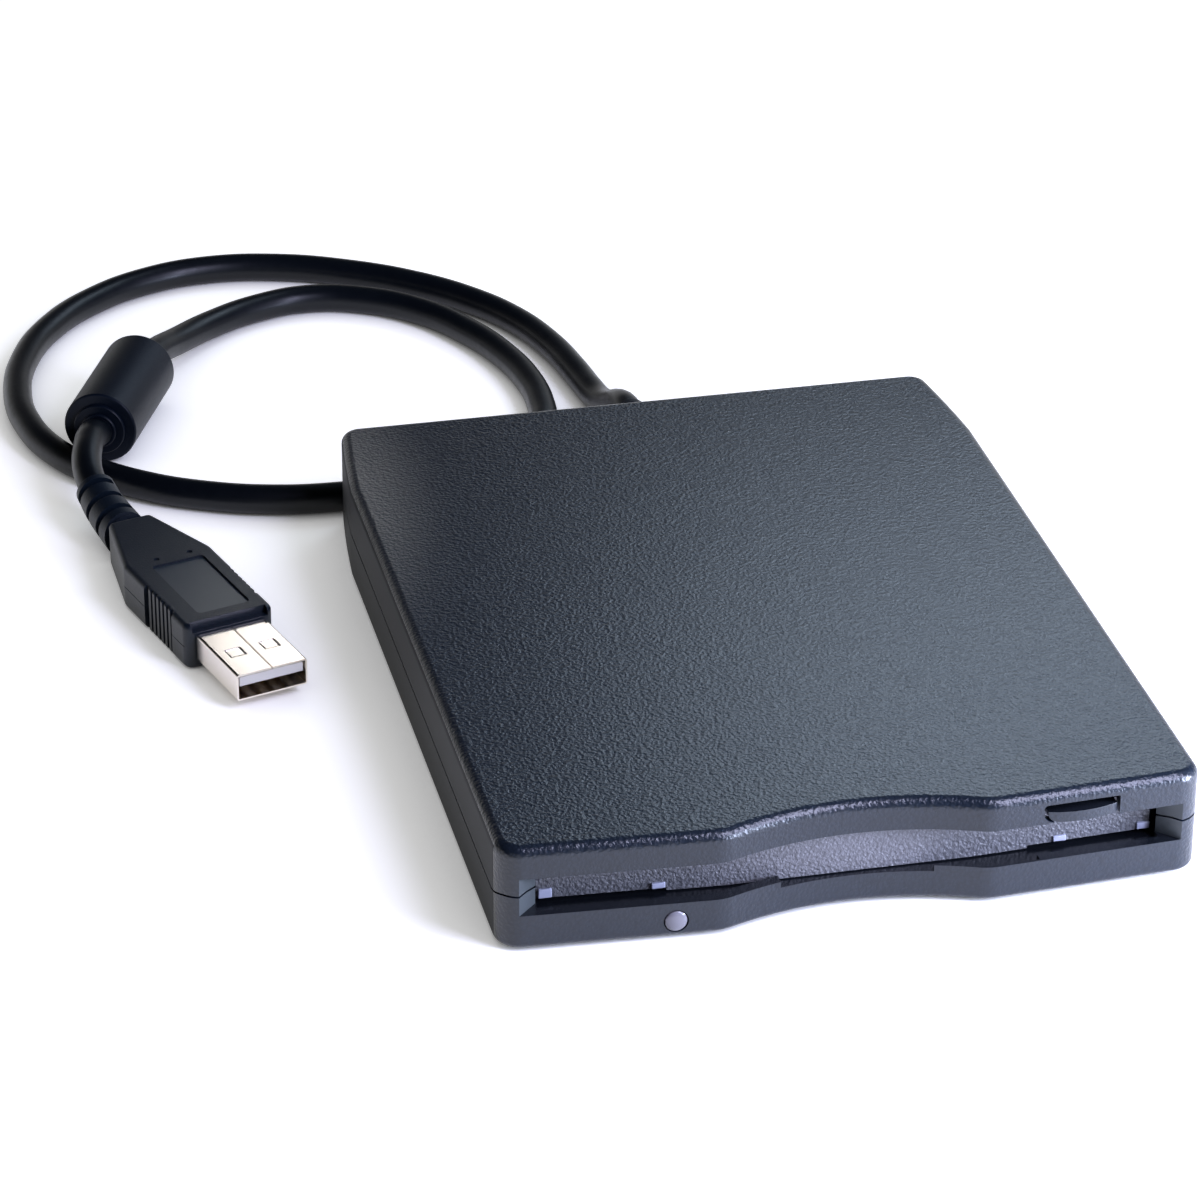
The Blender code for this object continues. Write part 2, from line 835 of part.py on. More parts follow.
def upper_shell():
    shell = slab(outline, 0, case_height)
    rim(shell, case_height, top_edge_radius, 3)
    cut(shell, slab(inset(outline, wall), -overrun, inner_roof))
    join(shell, *end_blocks(side_seam_height, inner_roof + bite))
    bracket_rear = end_block_depth + flap_bracket_depth
    for side in (-1, 1):
        near = side * half_throat
        far = side * (half_throat + flap_bracket_thickness)
        join(shell, box(
            (min(near, far), end_block_depth - bite, mouth_roof_height - bite),
            (max(near, far), bracket_rear, inner_roof + bite),
        ))
    for x, y in boss_places().values():
        join(shell, rod(boss_radius, (x, y, inner_floor + lower_boss_height + piece_gap),
                        (x, y, inner_roof + bite)))
    cut(shell, seam_shape(piece_gap / 2, False))
    cut(shell, mouth_shape(), gland_hole())
    reach = half_throat + flap_pin_length + overrun
    cut(shell, rod(flap_pin_radius + piece_gap, (-reach, flap_axis_depth, flap_axis_height),
                   (reach, flap_axis_depth, flap_axis_height)))
    half = button_width / 2 + button_side_gap
    cut(shell, box(
        (button_centre - half, front_edge - overrun, mouth_roof_height - overrun),
        (button_centre + half, button_cap_end + overrun, button_notch_top),
    ))
    return shell


def upper_shell_bosses(shell):
    """The four bosses, put back below the seam with their screw holes."""
    for x, y in boss_places().values():
        low = inner_floor + lower_boss_height + piece_gap
        join(shell, rod(boss_radius, (x, y, low), (x, y, side_seam_height + overrun)))
        cut(shell, rod(screw_radius + piece_gap, (x, y, low - overrun),
                       (x, y, low + thread_depth), small_sides))
    return shell


def lower_shell():
    shell = slab(outline, case_lift, case_height)
    rim(shell, case_lift, base_edge_radius, 2)
    inner = inset(outline, wall)
    cut(shell, slab(inner, gutter_height, case_height + overrun))
    deep = slab(inner, inner_floor, gutter_height + bite)
    cut(shell, cut(deep, box((-half_width, front_edge - overrun, 0),
                             (half_width, gutter_end, case_height))))
    join(shell, *end_blocks(gutter_height - bite, front_seam_height + overrun))
    for x, y in boss_places().values():
        join(shell, rod(lower_boss_radius, (x, y, inner_floor - bite),
                        (x, y, inner_floor + lower_boss_height)))
    cut(shell, seam_shape(-piece_gap / 2, True), mouth_shape(), gland_hole())
    half = finger_notch_width / 2
    cut(shell, box(
        (finger_notch_shift - half, front_edge - overrun, mouth_floor_height - finger_notch_depth),
        (finger_notch_shift + half, gutter_end + overrun, mouth_floor_height + overrun),
    ))
    cut(shell, rod(lamp_bore_radius, (lamp_offset, front_edge - overrun, lamp_height),
                   (lamp_offset, gutter_end + overrun, lamp_height), round_sides))
    for x, y in boss_places().values():
        cut(shell, rod(screw_radius + piece_gap, (x, y, -overrun), (x, y, mouth_floor_height)))
        cut(shell, rod(screw_head_radius + piece_gap, (x, y, -overrun), (x, y, screw_seat())))
    for x, y in foot_places().values():
        cut(shell, rod(foot_radius + piece_gap, (x, y, -overrun),
                       (x, y, case_lift + foot_recess_depth), round_sides))
    return shell


def screw_seat():
    return case_lift + screw_recess + screw_head_height + piece_gap


def foot_places():
    side = half_width - foot_inset
    return {
        "front_left": (-side, foot_front_depth + foot_radius),
        "front_right": (side, foot_front_depth + foot_radius),
        "rear_left": (-side, case_depth - foot_rear_inset),
        "rear_right": (side, case_depth - foot_rear_inset),
    }


def flap_line(extra):
    """Depth of the flap's front face at a distance from the middle."""
    slope = apex_reach / half_width
    return flap_face_depth + slope * max(0, abs(extra) - flap_straight_width / 2)


def door_flap():
    half = half_throat - flap_side_gap
    bend = flap_straight_width / 2
    front = [(-half, flap_line(half)), (-bend, flap_line(bend)), (bend, flap_line(bend)),
             (half, flap_line(half))]
    back = [(x, y + flap_thickness) for x, y in reversed(front)]
    flap = slab(front + back, flap_base_height, flap_top_height)
    for side in (-1, 1):
        outer, inner = side * half, side * (half - flap_ear_thickness)
        low, high = min(outer, inner), max(outer, inner)
        join(flap, box((low, flap_axis_depth - flap_ear_radius, flap_top_height - overrun),
                       (high, flap_axis_depth + flap_ear_radius,
                        flap_axis_height + flap_ear_radius)))
        join(flap, rod(flap_pin_radius, (inner, flap_axis_depth, flap_axis_height),
                       (side * (half + flap_pin_length), flap_axis_depth, flap_axis_height)))
    tab_places = [half - flap_tab_width / 2, flap_inner_tab_offset]
    for x in [*tab_places, *(-x for x in tab_places)]:
        face = flap_line(x)
        join(flap, box(
            (x - flap_tab_width / 2, face - flap_tab_reach, flap_base_height),
            (x + flap_tab_width / 2, face + flap_thickness / 2,
             flap_base_height + flap_tab_height),
        ))
    return set_origin(flap, (0, flap_axis_depth, flap_axis_height))


def coil(start, length, radius, wire, turns, along):
    """A helical spring of round wire from a point along X or Y."""
    points = []
    per_turn = 8
    for i in range(turns * per_turn + 1):
        angle = 2 * math.pi * i / per_turn
        run = length * i / (turns * per_turn)
        a, b = radius * math.cos(angle), radius * math.sin(angle)
        step = (run, a, b) if along == "X" else (a, run, b)
        points.append(Vector(start) + Vector(step))
    return tube(points, wire, 0)


def door_spring():
    start = half_throat + flap_bracket_thickness + piece_gap + flap_spring_wire
    room = flap_pin_length - flap_side_gap - flap_bracket_thickness - 2 * piece_gap
    return coil((-start, flap_axis_depth, flap_axis_height),
                -(room - 2 * flap_spring_wire), flap_spring_radius, flap_spring_wire,
                flap_spring_turns, "X")


def eject_button():
    left, right = button_centre - button_width / 2, button_centre + button_width / 2
    steps = 8
    face = []
    for i in range(steps + 1):
        t = i / steps
        x = left + (right - left) * t
        chord = wing(left) + (wing(right) - wing(left)) * t + button_end_setback
        face.append((x, chord - button_bulge * (1 - (2 * t - 1) ** 2)))
    cap = slab([*face, (right, button_cap_end), (left, button_cap_end)],
               button_base_height, button_top_height)
    half = button_stem_width / 2
    join(cap, box((button_centre - half, button_cap_end - bite, cam_bar_height),
                  (button_centre + half, cam_front + piece_gap + bite,
                   cam_bar_height + cam_bar_thickness)))
    half = button_tail_width / 2
    join(cap, box((button_centre - half, cam_front + piece_gap, cam_bar_height),
                  (button_centre + half, cam_front + piece_gap + button_tail_length,
                   cam_bar_height + cam_bar_thickness)))
    return cap


def lamp_lens():
    face = wing(lamp_offset) - lamp_reach
    dome = [(lamp_radius * wide, lamp_length - lamp_reach * down)
            for wide, down in lamp_dome_shares]
    lens = turned([*dome, (lamp_radius, 0), (0, 0)], round_sides)
    lens.rotation_euler = (math.pi / 2, 0, 0)
    lens.location = (lamp_offset, face + lamp_length, lamp_height)
    return lens


def lamp_board():
    front = gutter_end + piece_gap
    half = lamp_board_width / 2
    board = box((lamp_offset - half, front, frame_base),
                (lamp_offset + half, front + lamp_board_thickness,
                 frame_base + lamp_board_height))
    lens_rear = wing(lamp_offset) - lamp_reach + lamp_length
    return join(board, rod(lamp_chip_radius, (lamp_offset, lens_rear + piece_gap, lamp_height),
                           (lamp_offset, front + bite, lamp_height)))


def case_screw(x, y):
    top = screw_seat() - piece_gap
    base = case_lift + screw_recess
    profile = [(0, base + screw_head_height + screw_length), (screw_radius, top + screw_length),
               (screw_radius, top), (screw_head_radius, top), (screw_head_radius, base),
               (0, base)]
    screw = turned(profile, small_sides)
    screw.location = (x, y, 0)
    return screw


def chassis_frame():
    frame = box((-half_frame, frame_front, frame_base), (half_frame, frame_rear, frame_top))
    for side in (-1, 1):
        outer, inner = side * half_frame, side * (half_frame - frame_wall_thickness)
        join(frame, box((min(outer, inner), frame_front, frame_base + bite),
                        (max(outer, inner), frame_rear, frame_wall_top)))
        x = side * rod_offset
        join(frame, box((x - rod_stop_width / 2, rod_stop_front, frame_base + bite),
                        (x + rod_stop_width / 2, rod_stop_front + sheet_thickness,
                         rod_height + rod_radius)))
        join(frame, box((x - rod_stop_width / 2, rod_rear + piece_gap, frame_base + bite),
                        (x + rod_stop_width / 2, rod_rear + piece_gap + sheet_thickness,
                         rod_height + rod_radius)))
    for front, thickness in ((screw_bracket_front, screw_bracket_thickness),
                             (stepper_tab_front, stepper_tab_thickness)):
        join(frame, box((screw_axis_x - nut_width / 2, front, frame_base + bite),
                        (screw_axis_x + nut_width / 2, front + thickness, nut_top)))
    centre_point = (0, spindle_depth)
    cut(frame, rod(motor_hole_radius, (*centre_point, -overrun),
                   (*centre_point, frame_top + overrun), fine_sides))
    cut(frame, box((-carriage_window_width / 2, carriage_window_front, -overrun),
                   (carriage_window_width / 2, rod_rear,
                    frame_top + bite)))
    cut(frame, rod(lead_screw_radius + piece_gap,
                   (screw_axis_x, stepper_tab_front - overrun, screw_axis_height),
                   (screw_axis_x, stepper_tab_front + stepper_tab_thickness + overrun,
                    screw_axis_height)))
    reach = half_frame + overrun
    for y in (holder_pin_front, holder_pin_rear):
        top = holder_pin_height + press_travel * drop_per_travel
        shape = capsule((y, holder_pin_height - load_drop), (y, top),
                        holder_pin_radius + slot_clearance)
        cut(frame, slab(shape, -reach, reach, "X"))
    return frame


def top_cover():
    low = cover_low
    cover = box((-half_frame, cover_front, low), (half_frame, frame_rear, low + cover_thickness))
    tab_front = cam_bar_rear + sheet_thickness + press_travel + eject_spring_length + 3 * piece_gap
    return join(cover, box(
        (eject_spring_offset - spring_tab_width / 2, tab_front, frame_wall_top - spring_tab_drop),
        (eject_spring_offset + spring_tab_width / 2, tab_front + sheet_thickness, low + bite),
    ))


def disk_holder():
    outer = holder_half + sheet_thickness
    holder = box((-outer, holder_front, holder_rail_height), (outer, holder_rear, holder_top))
    cut(holder, box((-holder_half, holder_front - overrun, holder_rail_height + sheet_thickness),
                    (holder_half, holder_rear + overrun, holder_roof)))
    inner = holder_half - holder_rail_width
    cut(holder, box((-inner, holder_front - overrun, holder_rail_height - overrun),
                    (inner, holder_rear + overrun, holder_roof - overrun)))
    half = holder_window_width / 2
    cut(holder, box((-half, holder_window_front, holder_roof - overrun),
                    (half, holder_rear + overrun, holder_top + overrun)))
    pivot = (lever_pivot_x, lever_pivot_y)
    width = lever_tip_radius + lever_slot_clearance
    spare = width / lever_reach
    start, end = lever_rest_angle + spare, lever_rest_angle - lever_swing - spare
    band = arc(pivot, lever_reach + width, start, end, 10) + arc(
        pivot, lever_reach - width, end, start, 10)
    cut(holder, slab(band, holder_roof - overrun, holder_top + overrun))
    for side in (-1, 1):
        for y in (holder_pin_front, holder_pin_rear):
            join(holder, rod(holder_pin_radius, (side * (holder_half + bite), y, holder_pin_height),
                             (side * half_frame, y, holder_pin_height)))
    cut(holder, rod(lever_pin_radius, (*pivot, holder_roof - overrun),
                    (*pivot, holder_top + overrun)))
    return set_origin(holder, (0, holder_front, holder_pin_height))


def cam_plate():
    top = cam_bar_height + cam_bar_thickness
    plate = box((-cam_outer, cam_wall_front, cam_bar_height), (cam_outer, cam_bar_rear, top))
    join(plate, box((-half_cam_bar, cam_front, cam_bar_height),
                    (half_cam_bar, cam_bar_rear, top)))
    floor_z = frame_top + cam_floor_gap
    for side in (-1, 1):
        near, far = side * cam_inner, side * cam_outer
        wall_box = box((min(near, far), cam_wall_front, floor_z),
                       (max(near, far), cam_wall_rear, top))
        join(plate, wall_box)
    join(plate, box(
        (eject_spring_offset - spring_tab_width / 2, cam_bar_rear - bite,
         top - spring_tab_drop),
        (eject_spring_offset + spring_tab_width / 2, cam_bar_rear + sheet_thickness, top)))
    for y in (holder_pin_front, holder_pin_rear):
        start = (y - press_travel, holder_pin_height + press_travel * drop_per_travel)
        end = (y + load_travel, holder_pin_height - load_drop)
        shape = capsule(start, end, holder_pin_radius + slot_clearance)
        cut(plate, slab(shape, -half_frame, half_frame, "X"))
    gap = piece_gap
    half_stem, half_tail = button_stem_width / 2 + gap, button_tail_width / 2 + gap
    neck_rear = cam_front + gap
    cut(plate, box((button_centre - half_tail, neck_rear - gap, cam_bar_height - overrun),
                   (button_centre + half_tail, neck_rear + button_tail_length + gap,
                    top + overrun)))
    cut(plate, box((button_centre - half_stem, cam_front - overrun, cam_bar_height - overrun),
                   (button_centre + half_stem, neck_rear + gap, top + overrun)))
    return plate


def eject_spring():
    start = cam_bar_rear + sheet_thickness + press_travel + piece_gap + eject_spring_wire
    height = frame_wall_top - spring_tab_drop / 2
    return coil((eject_spring_offset, start, height), eject_spring_length - 2 * eject_spring_wire,
                eject_spring_radius, eject_spring_wire, eject_spring_turns, "Y")


def shutter_lever():
    low = lever_low
    tip = (lever_pivot_x + lever_reach * math.cos(lever_rest_angle),
           lever_pivot_y + lever_reach * math.sin(lever_rest_angle))
    pivot = (lever_pivot_x, lever_pivot_y)
    lever = slab(capsule(pivot, tip, lever_width / 2), low, low + lever_thickness)
    join(lever, rod(lever_tip_radius, (*tip, low - lever_tip_drop), (*tip, low + bite)))
    cut(lever, rod(lever_pin_radius + piece_gap, (*pivot, low - overrun),
                   (*pivot, low + lever_thickness + overrun)))
    return set_origin(lever, (*pivot, low))


def lever_pin():
    low = lever_pin_low
    shaft = lever_pin_radius - piece_gap
    profile = [(0, low + sheet_thickness), (lever_pin_head, low + sheet_thickness),
               (lever_pin_head, low), (shaft, low), (shaft, holder_roof), (0, holder_roof)]
    pin = turned(profile, small_sides)
    pin.location = (lever_pivot_x, lever_pivot_y, 0)
    return pin


def at_spindle(item):
    item.location = (0, spindle_depth, 0)
    return item


def motor_board():
    board = turned([(0, frame_base + motor_board_thickness),
                    (motor_board_radius, frame_base + motor_board_thickness),
                    (motor_board_radius, frame_base), (0, frame_base)], fine_sides)
    return at_spindle(board)


def stator():
    shape = []
    per_pole = 4
    for i in range(stator_poles * per_pole):
        angle = 2 * math.pi * (i + 0.5) / (stator_poles * per_pole)
        radius = stator_outer_radius if i % per_pole in (0, 1) else stator_inner_radius
        shape.append((radius * math.cos(angle), spindle_depth + radius * math.sin(angle)))
    ring = slab(shape, motor_base, motor_base + stator_thickness)
    return cut(ring, rod(stator_bore_radius, (0, spindle_depth, motor_base - overrun),
                         (0, spindle_depth, motor_base + stator_thickness + overrun),
                         round_sides))


def bearing():
    inner = shaft_radius + piece_gap
    return at_spindle(turned(
        [(inner, motor_base + bearing_height), (bearing_radius, motor_base + bearing_height),
         (bearing_radius, motor_base), (inner, motor_base)], round_sides, closed=True))


def rotor():
    bore = shaft_radius + piece_gap
    top = motor_base + rotor_height
    profile = [(bore, top + hub_height), (hub_radius, top + hub_height), (hub_radius, top),
               (rotor_radius, top), (rotor_radius, motor_base),
               (rotor_radius - rotor_rim + magnet_thickness, motor_base),
               (rotor_radius - rotor_rim + magnet_thickness, top - rotor_plate),
               (bore, top - rotor_plate)]
    return at_spindle(turned(profile, fine_sides, closed=True))


def ring_magnet():
    outer = rotor_radius - rotor_rim + magnet_thickness - piece_gap
    top = motor_base + rotor_height - rotor_plate - piece_gap
    return at_spindle(turned(
        [(outer - magnet_thickness, top), (outer, top), (outer, top - magnet_height + bite),
         (outer - magnet_thickness, top - magnet_height + bite)], fine_sides, closed=True))


def spindle_shaft():
    return at_spindle(turned(
        [(0, motor_base + shaft_height), (shaft_radius, motor_base + shaft_height),
         (shaft_radius, motor_base), (0, motor_base)], small_sides))


def drive_pin():
    low = motor_base + rotor_height + hub_height + piece_gap
    return rod(drive_pin_radius, (drive_pin_offset, spindle_depth, low),
               (drive_pin_offset, spindle_depth, low + drive_pin_height))


def guide_rod(x):
    front = rod_stop_front + sheet_thickness + piece_gap
    return rod(rod_radius, (x, front, rod_height), (x, rod_rear, rod_height))


def head_carriage():
    half = carriage_width / 2
    front = head_depth - carriage_front_offset
    body = box((-half, front, carriage_base_height), (half, carriage_rear, carriage_top_height))
    post_front = carriage_rear - carriage_post_thickness
    post_half = carriage_post_width / 2
    join(body, box((-post_half, post_front, carriage_top_height - bite),
                   (post_half, carriage_rear, carriage_post_top)))
    nut_left = screw_axis_x - nut_width / 2
    join(body, box((nut_left, post_front, carriage_base_height + sheet_thickness + 2 * piece_gap),
                   (-half + bite, carriage_rear, nut_top)))
    join(body, box((-half, post_front, carriage_top_height - bite),
                   (-post_half + bite, carriage_rear, nut_top - bite)))
    cut(body, rod(nut_bore_radius, (screw_axis_x, post_front - overrun, screw_axis_height),
                  (screw_axis_x, carriage_rear + overrun, screw_axis_height)))
    for x in (-rod_offset, rod_offset):
        cut(body, rod(rod_bore_radius, (x, front - overrun, rod_height),
                      (x, carriage_rear + overrun, rod_height)))
    seat = head_width / 2 + piece_gap
    cut(body, box((-seat, front - overrun, carriage_top_height - head_seat_depth()),
                  (seat, head_depth + head_length / 2 + piece_gap,
                   carriage_top_height + overrun)))
    slot_half = arm_width / 2 + piece_gap
    hinge_y = carriage_rear - arm_axis_inset
    cut(body, rod(arm_pin_radius + piece_gap, (-post_half - overrun, hinge_y, carriage_post_top),
                  (post_half + overrun, hinge_y, carriage_post_top)))
    cut(body, box((-slot_half, post_front - overrun, arm_axis_height - 3 * arm_thickness),
                  (slot_half, carriage_rear + overrun, arm_axis_height)))
    return set_origin(body, (0, head_depth, rod_height))


def head_seat_depth():
    return (carriage_top_height - carriage_base_height) / 2


def lower_head():
    half = head_width / 2
    base = carriage_top_height - head_seat_depth() + piece_gap
    return box((-half, head_depth - head_length / 2, base),
               (half, head_depth + head_length / 2, lower_head_top))


def upper_head_arm():
    hinge_y = carriage_rear - arm_axis_inset
    half = arm_width / 2
    front = head_depth - head_length / 2
    low = carriage_post_top + arm_pin_radius - arm_thickness / 2
    arm = box((-half, front, low), (half, hinge_y, low + arm_thickness))
    join(arm, rod(arm_pin_radius, (-arm_pin_length / 2, hinge_y, carriage_post_top),
                  (arm_pin_length / 2, hinge_y, carriage_post_top)))
    return set_origin(arm, (0, hinge_y, carriage_post_top))


def upper_head():
    half = head_width / 2
    top = carriage_post_top + arm_pin_radius - arm_thickness / 2 - piece_gap
    head = box((-half, head_depth - head_length / 2, upper_head_base),
               (half, head_depth + head_length / 2, top))
    return set_origin(head, (0, carriage_rear - arm_axis_inset, carriage_post_top))


def stepper_motor():
    front = stepper_tab_front + stepper_tab_thickness + piece_gap
    return rod(stepper_radius, (screw_axis_x, front + piece_gap, screw_axis_height),
               (screw_axis_x, front + piece_gap + stepper_length, screw_axis_height), round_sides)


def lead_screw():
    rear = stepper_tab_front + stepper_tab_thickness + piece_gap
    return rod(lead_screw_radius, (screw_axis_x, lead_screw_front, screw_axis_height),
               (screw_axis_x, rear, screw_axis_height))


def sensor_switch(x):
    half = switch_size / 2
    low = frame_top + piece_gap
    body = box((x - half, switch_depth - half, low), (x + half, switch_depth + half,
                                                     low + switch_height))
    return cut(body, rod(plunger_radius + piece_gap, (x, switch_depth, low - overrun),
                         (x, switch_depth, low + switch_height + overrun)))


def sensor_plunger(x):
    low = frame_top + piece_gap + plunger_travel
    return rod(plunger_radius, (x, switch_depth, low), (x, switch_depth, low + plunger_length))


def main_board():
    low = frame_top + piece_gap
    return box((main_board_left, main_board_front, low),
               (board_right, frame_rear - board_side_gap, low + board_thickness))


def main_chip():
    low = frame_top + 2 * piece_gap + board_thickness
    left, front = main_board_left + chip_inset, main_board_front + chip_inset
    return box((left, front, low), (left + chip_size, front + chip_size, low + chip_height))


def board_connector():
    low = frame_top + 2 * piece_gap + board_thickness
    rear = frame_rear - board_side_gap - piece_gap
    left = main_board_left + chip_inset
    width = (board_right - main_board_left) * connector_width_share
    return box((left, rear - connector_depth, low),
               (left + width, rear, usb_board_height - piece_gap))


def usb_board():
    return box((main_board_left, usb_board_front, usb_board_height),
               (board_right, frame_rear - board_side_gap, usb_board_height + board_thickness))


def usb_chip():
    low = usb_board_height + board_thickness + piece_gap
    left, front = main_board_left + chip_inset, usb_board_front + chip_inset
    return box((left, front, low),
               (left + usb_chip_size, front + usb_chip_size, low + chip_height))


def cable_gland():
    rear = case_depth + piece_gap
    profile = [(0, gland_boot_length), (gland_tip_radius, gland_boot_length),
               (gland_boot_radius, 0), (gland_neck_radius, 0),
               (gland_neck_radius, -wall - 2 * piece_gap),
               (gland_flange_radius, -wall - 2 * piece_gap),
               (gland_flange_radius, -wall - 2 * piece_gap - gland_flange_thickness),
               (0, -wall - 2 * piece_gap - gland_flange_thickness)]
    gland = turned(profile, round_sides)
    gland.rotation_euler = (-math.pi / 2, 0, 0)
    gland.location = (gland_offset, rear, side_seam_height)
    return gland


def inner_lead():
    start = case_depth - wall - piece_gap - gland_flange_thickness - piece_gap
    end_x = main_board_left - piece_gap
    rise = usb_board_height + board_thickness / 2
    straight = inner_lead_straight
    route = [(gland_offset, start - straight, side_seam_height),
             (gland_offset + straight, start - 3 * straight, side_seam_height),
             (gland_offset + 3 * straight, start - 4 * straight, rise),
             (end_x, start - 4 * straight, rise)]
    points, _ = smooth_line(route, straight)
    return tube([(gland_offset, start, side_seam_height), *points], inner_lead_radius, 1)


def bead_direction():
    return (bead_near - bead_far).normalized()


def plug_direction():
    return Vector((math.sin(plug_heading), -math.cos(plug_heading), 0))


def plug_length_to(distance):
    """The point this far behind the plug's tip on the plug's own axis."""
    tip = Vector((plug_tip_x, plug_tip_y, plug_axis_height))
    return tip - plug_direction() * distance


body_front = plug_shell_length + piece_gap
body_length = plug_shoulder_length + plug_taper_length


def cord_between(start, start_heading, route, end, end_heading):
    """A stretch of cord that leaves one piece straight and runs straight into the next."""
    start, end = start + start_heading * piece_gap, end - end_heading * piece_gap
    first, last = start + start_heading * cord_lead, end - end_heading * cord_lead
    line, length = smooth_line([first, *(Vector(p) * mm for p in route), last], cord_step)
    return [start, *line, end], length + 2 * cord_lead


def cord_lines():
    """The two free stretches of the cord, each with its length."""
    gland_end = Vector((gland_offset, gland_rear, side_seam_height))
    boot_heading = (boot_middle - boot_start).normalized()
    return (
        cord_between(gland_end, Vector((0, 1, 0)), first_route, bead_far, bead_direction()),
        cord_between(bead_near, bead_direction(), second_route, boot_start, boot_heading),
    )


def ferrite_bead():
    """The bead, with two stepped collars round the cord at each end."""
    length = (bead_near - bead_far).length
    edge, steps = bead_edge_radius, bead_collar_length + bead_neck_length
    half = [(0, 0), (bead_neck_radius, 0), (bead_neck_radius, bead_neck_length),
            (bead_collar_radius, bead_neck_length), (bead_collar_radius, steps),
            (bead_radius - edge, steps),
            (bead_radius - edge * edge_share, steps + edge * edge_share),
            (bead_radius, steps + edge)]
    profile = [(r, length - h) for r, h in half] + half[::-1]
    bead = turned(profile, round_sides)
    bead.rotation_euler = bead_direction().to_track_quat("Z", "Y").to_euler()
    bead.location = bead_far
    return bead


def plug_boot():
    """The bend relief behind the plug, slotted from two opposite sides in turn."""
    end = plug_length_to(body_front + body_length + piece_gap)
    straight = end - plug_direction() * boot_step
    line, _ = smooth_line([boot_start, boot_middle, straight, end], boot_step)
    shares = []
    for i in range(len(line)):
        t = i / (len(line) - 1)
        radius = boot_cord_radius + (boot_body_radius - boot_cord_radius) * t
        shares.append(radius / boot_body_radius)
    boot = tube(line, boot_body_radius, 3, shares)
    fine, _ = smooth_line([boot_start, boot_middle, straight, end], boot_slot_width / 4)
    for k in range(boot_slots):
        at = (boot_slot_start_share + k * boot_slot_pitch_share) * (len(fine) - 1)
        place = fine[int(at)]
        heading = (fine[int(at) + 1] - place).normalized()
        right = heading.cross(Vector((0, 0, 1))).normalized() * (-1) ** k
        up = right.cross(heading) * (-1) ** k
        away = right * math.cos(boot_slot_roll) + up * (-1) ** k * math.sin(boot_slot_roll)
        reach = 2 * boot_body_radius
        slot = box((-reach, boot_slot_lift, -boot_slot_width / 2),
                   (reach, reach, boot_slot_width / 2))
        frame = Matrix((away.cross(heading), away, heading)).transposed().to_4x4()
        slot.matrix_world = Matrix.Translation(place) @ frame @ slot.matrix_world
        cut(boot, slot)
    return boot


def on_plug(item, low=0):
    """Turns a shape made along -Y from the origin so that it lies on the plug's axis."""
    tip = plug_length_to(0)
    item.rotation_euler = (0, 0, plug_heading)
    item.location = (tip.x, tip.y, low)
    return item


def plug_body():
    half, rear = plug_body_width / 2, plug_rear_width / 2
    shoulder = body_front + plug_shoulder_length
    end = body_front + body_length
    body = slab([(-half, body_front), (half, body_front), (half, shoulder), (rear, end),
                 (-rear, end), (-half, shoulder)], -plug_body_height / 2, plug_body_height / 2)
    round_edges(body, plug_edge_radius, 2)
    on_plug(set_origin(body, (0, 0, 0)), plug_axis_height)
    start = body_front + plug_grip_start
    pitch = plug_grip_length / (plug_grip_ribs + 1)
    for side in (-1, 1):
        near, far = side * (half - plug_grip_depth), side * (half + overrun)
        rib = side * (half - plug_grip_depth + plug_grip_rib_height)
        edge = [(far, start), (near, start)]
        for k in range(plug_grip_ribs):
            low_y = start + pitch * (k + 1) - plug_grip_rib_width / 2
            high_y = low_y + plug_grip_rib_width
            edge += [(near, low_y), (rib, low_y), (rib, high_y), (near, high_y)]
        edge += [(near, start + plug_grip_length), (far, start + plug_grip_length)]
        grip = slab(edge, -plug_body_height, plug_body_height)
        cut(body, on_plug(set_origin(grip, (0, 0, 0)), plug_axis_height))
    lip = box((-plug_lip_width / 2, body_front - overrun, plug_shell_height / 2 + piece_gap),
              (plug_lip_width / 2, body_front + plug_lip_length, plug_body_height))
    cut(body, on_plug(set_origin(lip, (0, 0, 0)), plug_axis_height))
    start = body_front + plug_panel_start
    top = plug_body_height / 2
    panel = box((-plug_panel_width / 2, start, top - plug_panel_depth),
                (plug_panel_width / 2, start + plug_panel_length, top + overrun))
    cut(body, on_plug(set_origin(panel, (0, 0, 0)), plug_axis_height))
    return body


def plug_shell():
    half, tall = plug_shell_width / 2, plug_shell_height / 2
    shell = box((-half, 0, -tall), (half, plug_shell_length, tall))
    half, tall = half - plug_shell_wall, tall - plug_shell_wall
    hollow = box((-half, -overrun, -tall), (half, plug_shell_length - plug_shell_wall, tall))
    cut(shell, on_plug(set_origin(hollow, (0, 0, 0)), plug_axis_height))
    for side in (-1, 1):
        middle = side * plug_window_offset
        window = box((middle - plug_window_size / 2, plug_window_start, tall - plug_shell_wall),
                     (middle + plug_window_size / 2, plug_window_start + plug_window_size,
                      tall + plug_shell_wall + overrun))
        cut(shell, on_plug(set_origin(window, (0, 0, 0)), plug_axis_height))
    return on_plug(set_origin(shell, (0, 0, 0)), plug_axis_height)


def plug_tongue():
    half = plug_shell_width / 2 - plug_shell_wall - piece_gap
    top = plug_shell_height / 2 - plug_shell_wall - piece_gap
    rear = plug_shell_length - plug_shell_wall - piece_gap
    tongue = box((-half, plug_shell_wall, top - plug_tongue_height), (half, rear, top))
    return on_plug(set_origin(tongue, (0, 0, 0)), plug_axis_height)


def plug_contact(number):
    middle = plug_contact_pitch * (number - 1.5)
    top = plug_shell_height / 2 - plug_shell_wall - 2 * piece_gap - plug_tongue_height
    front = plug_shell_wall * 4
    contact = box((middle - plug_contact_width / 2, front, top - plug_contact_thickness),
                  (middle + plug_contact_width / 2, front + plug_contact_length, top))
    return on_plug(set_origin(contact, (0, 0, 0)), plug_axis_height)


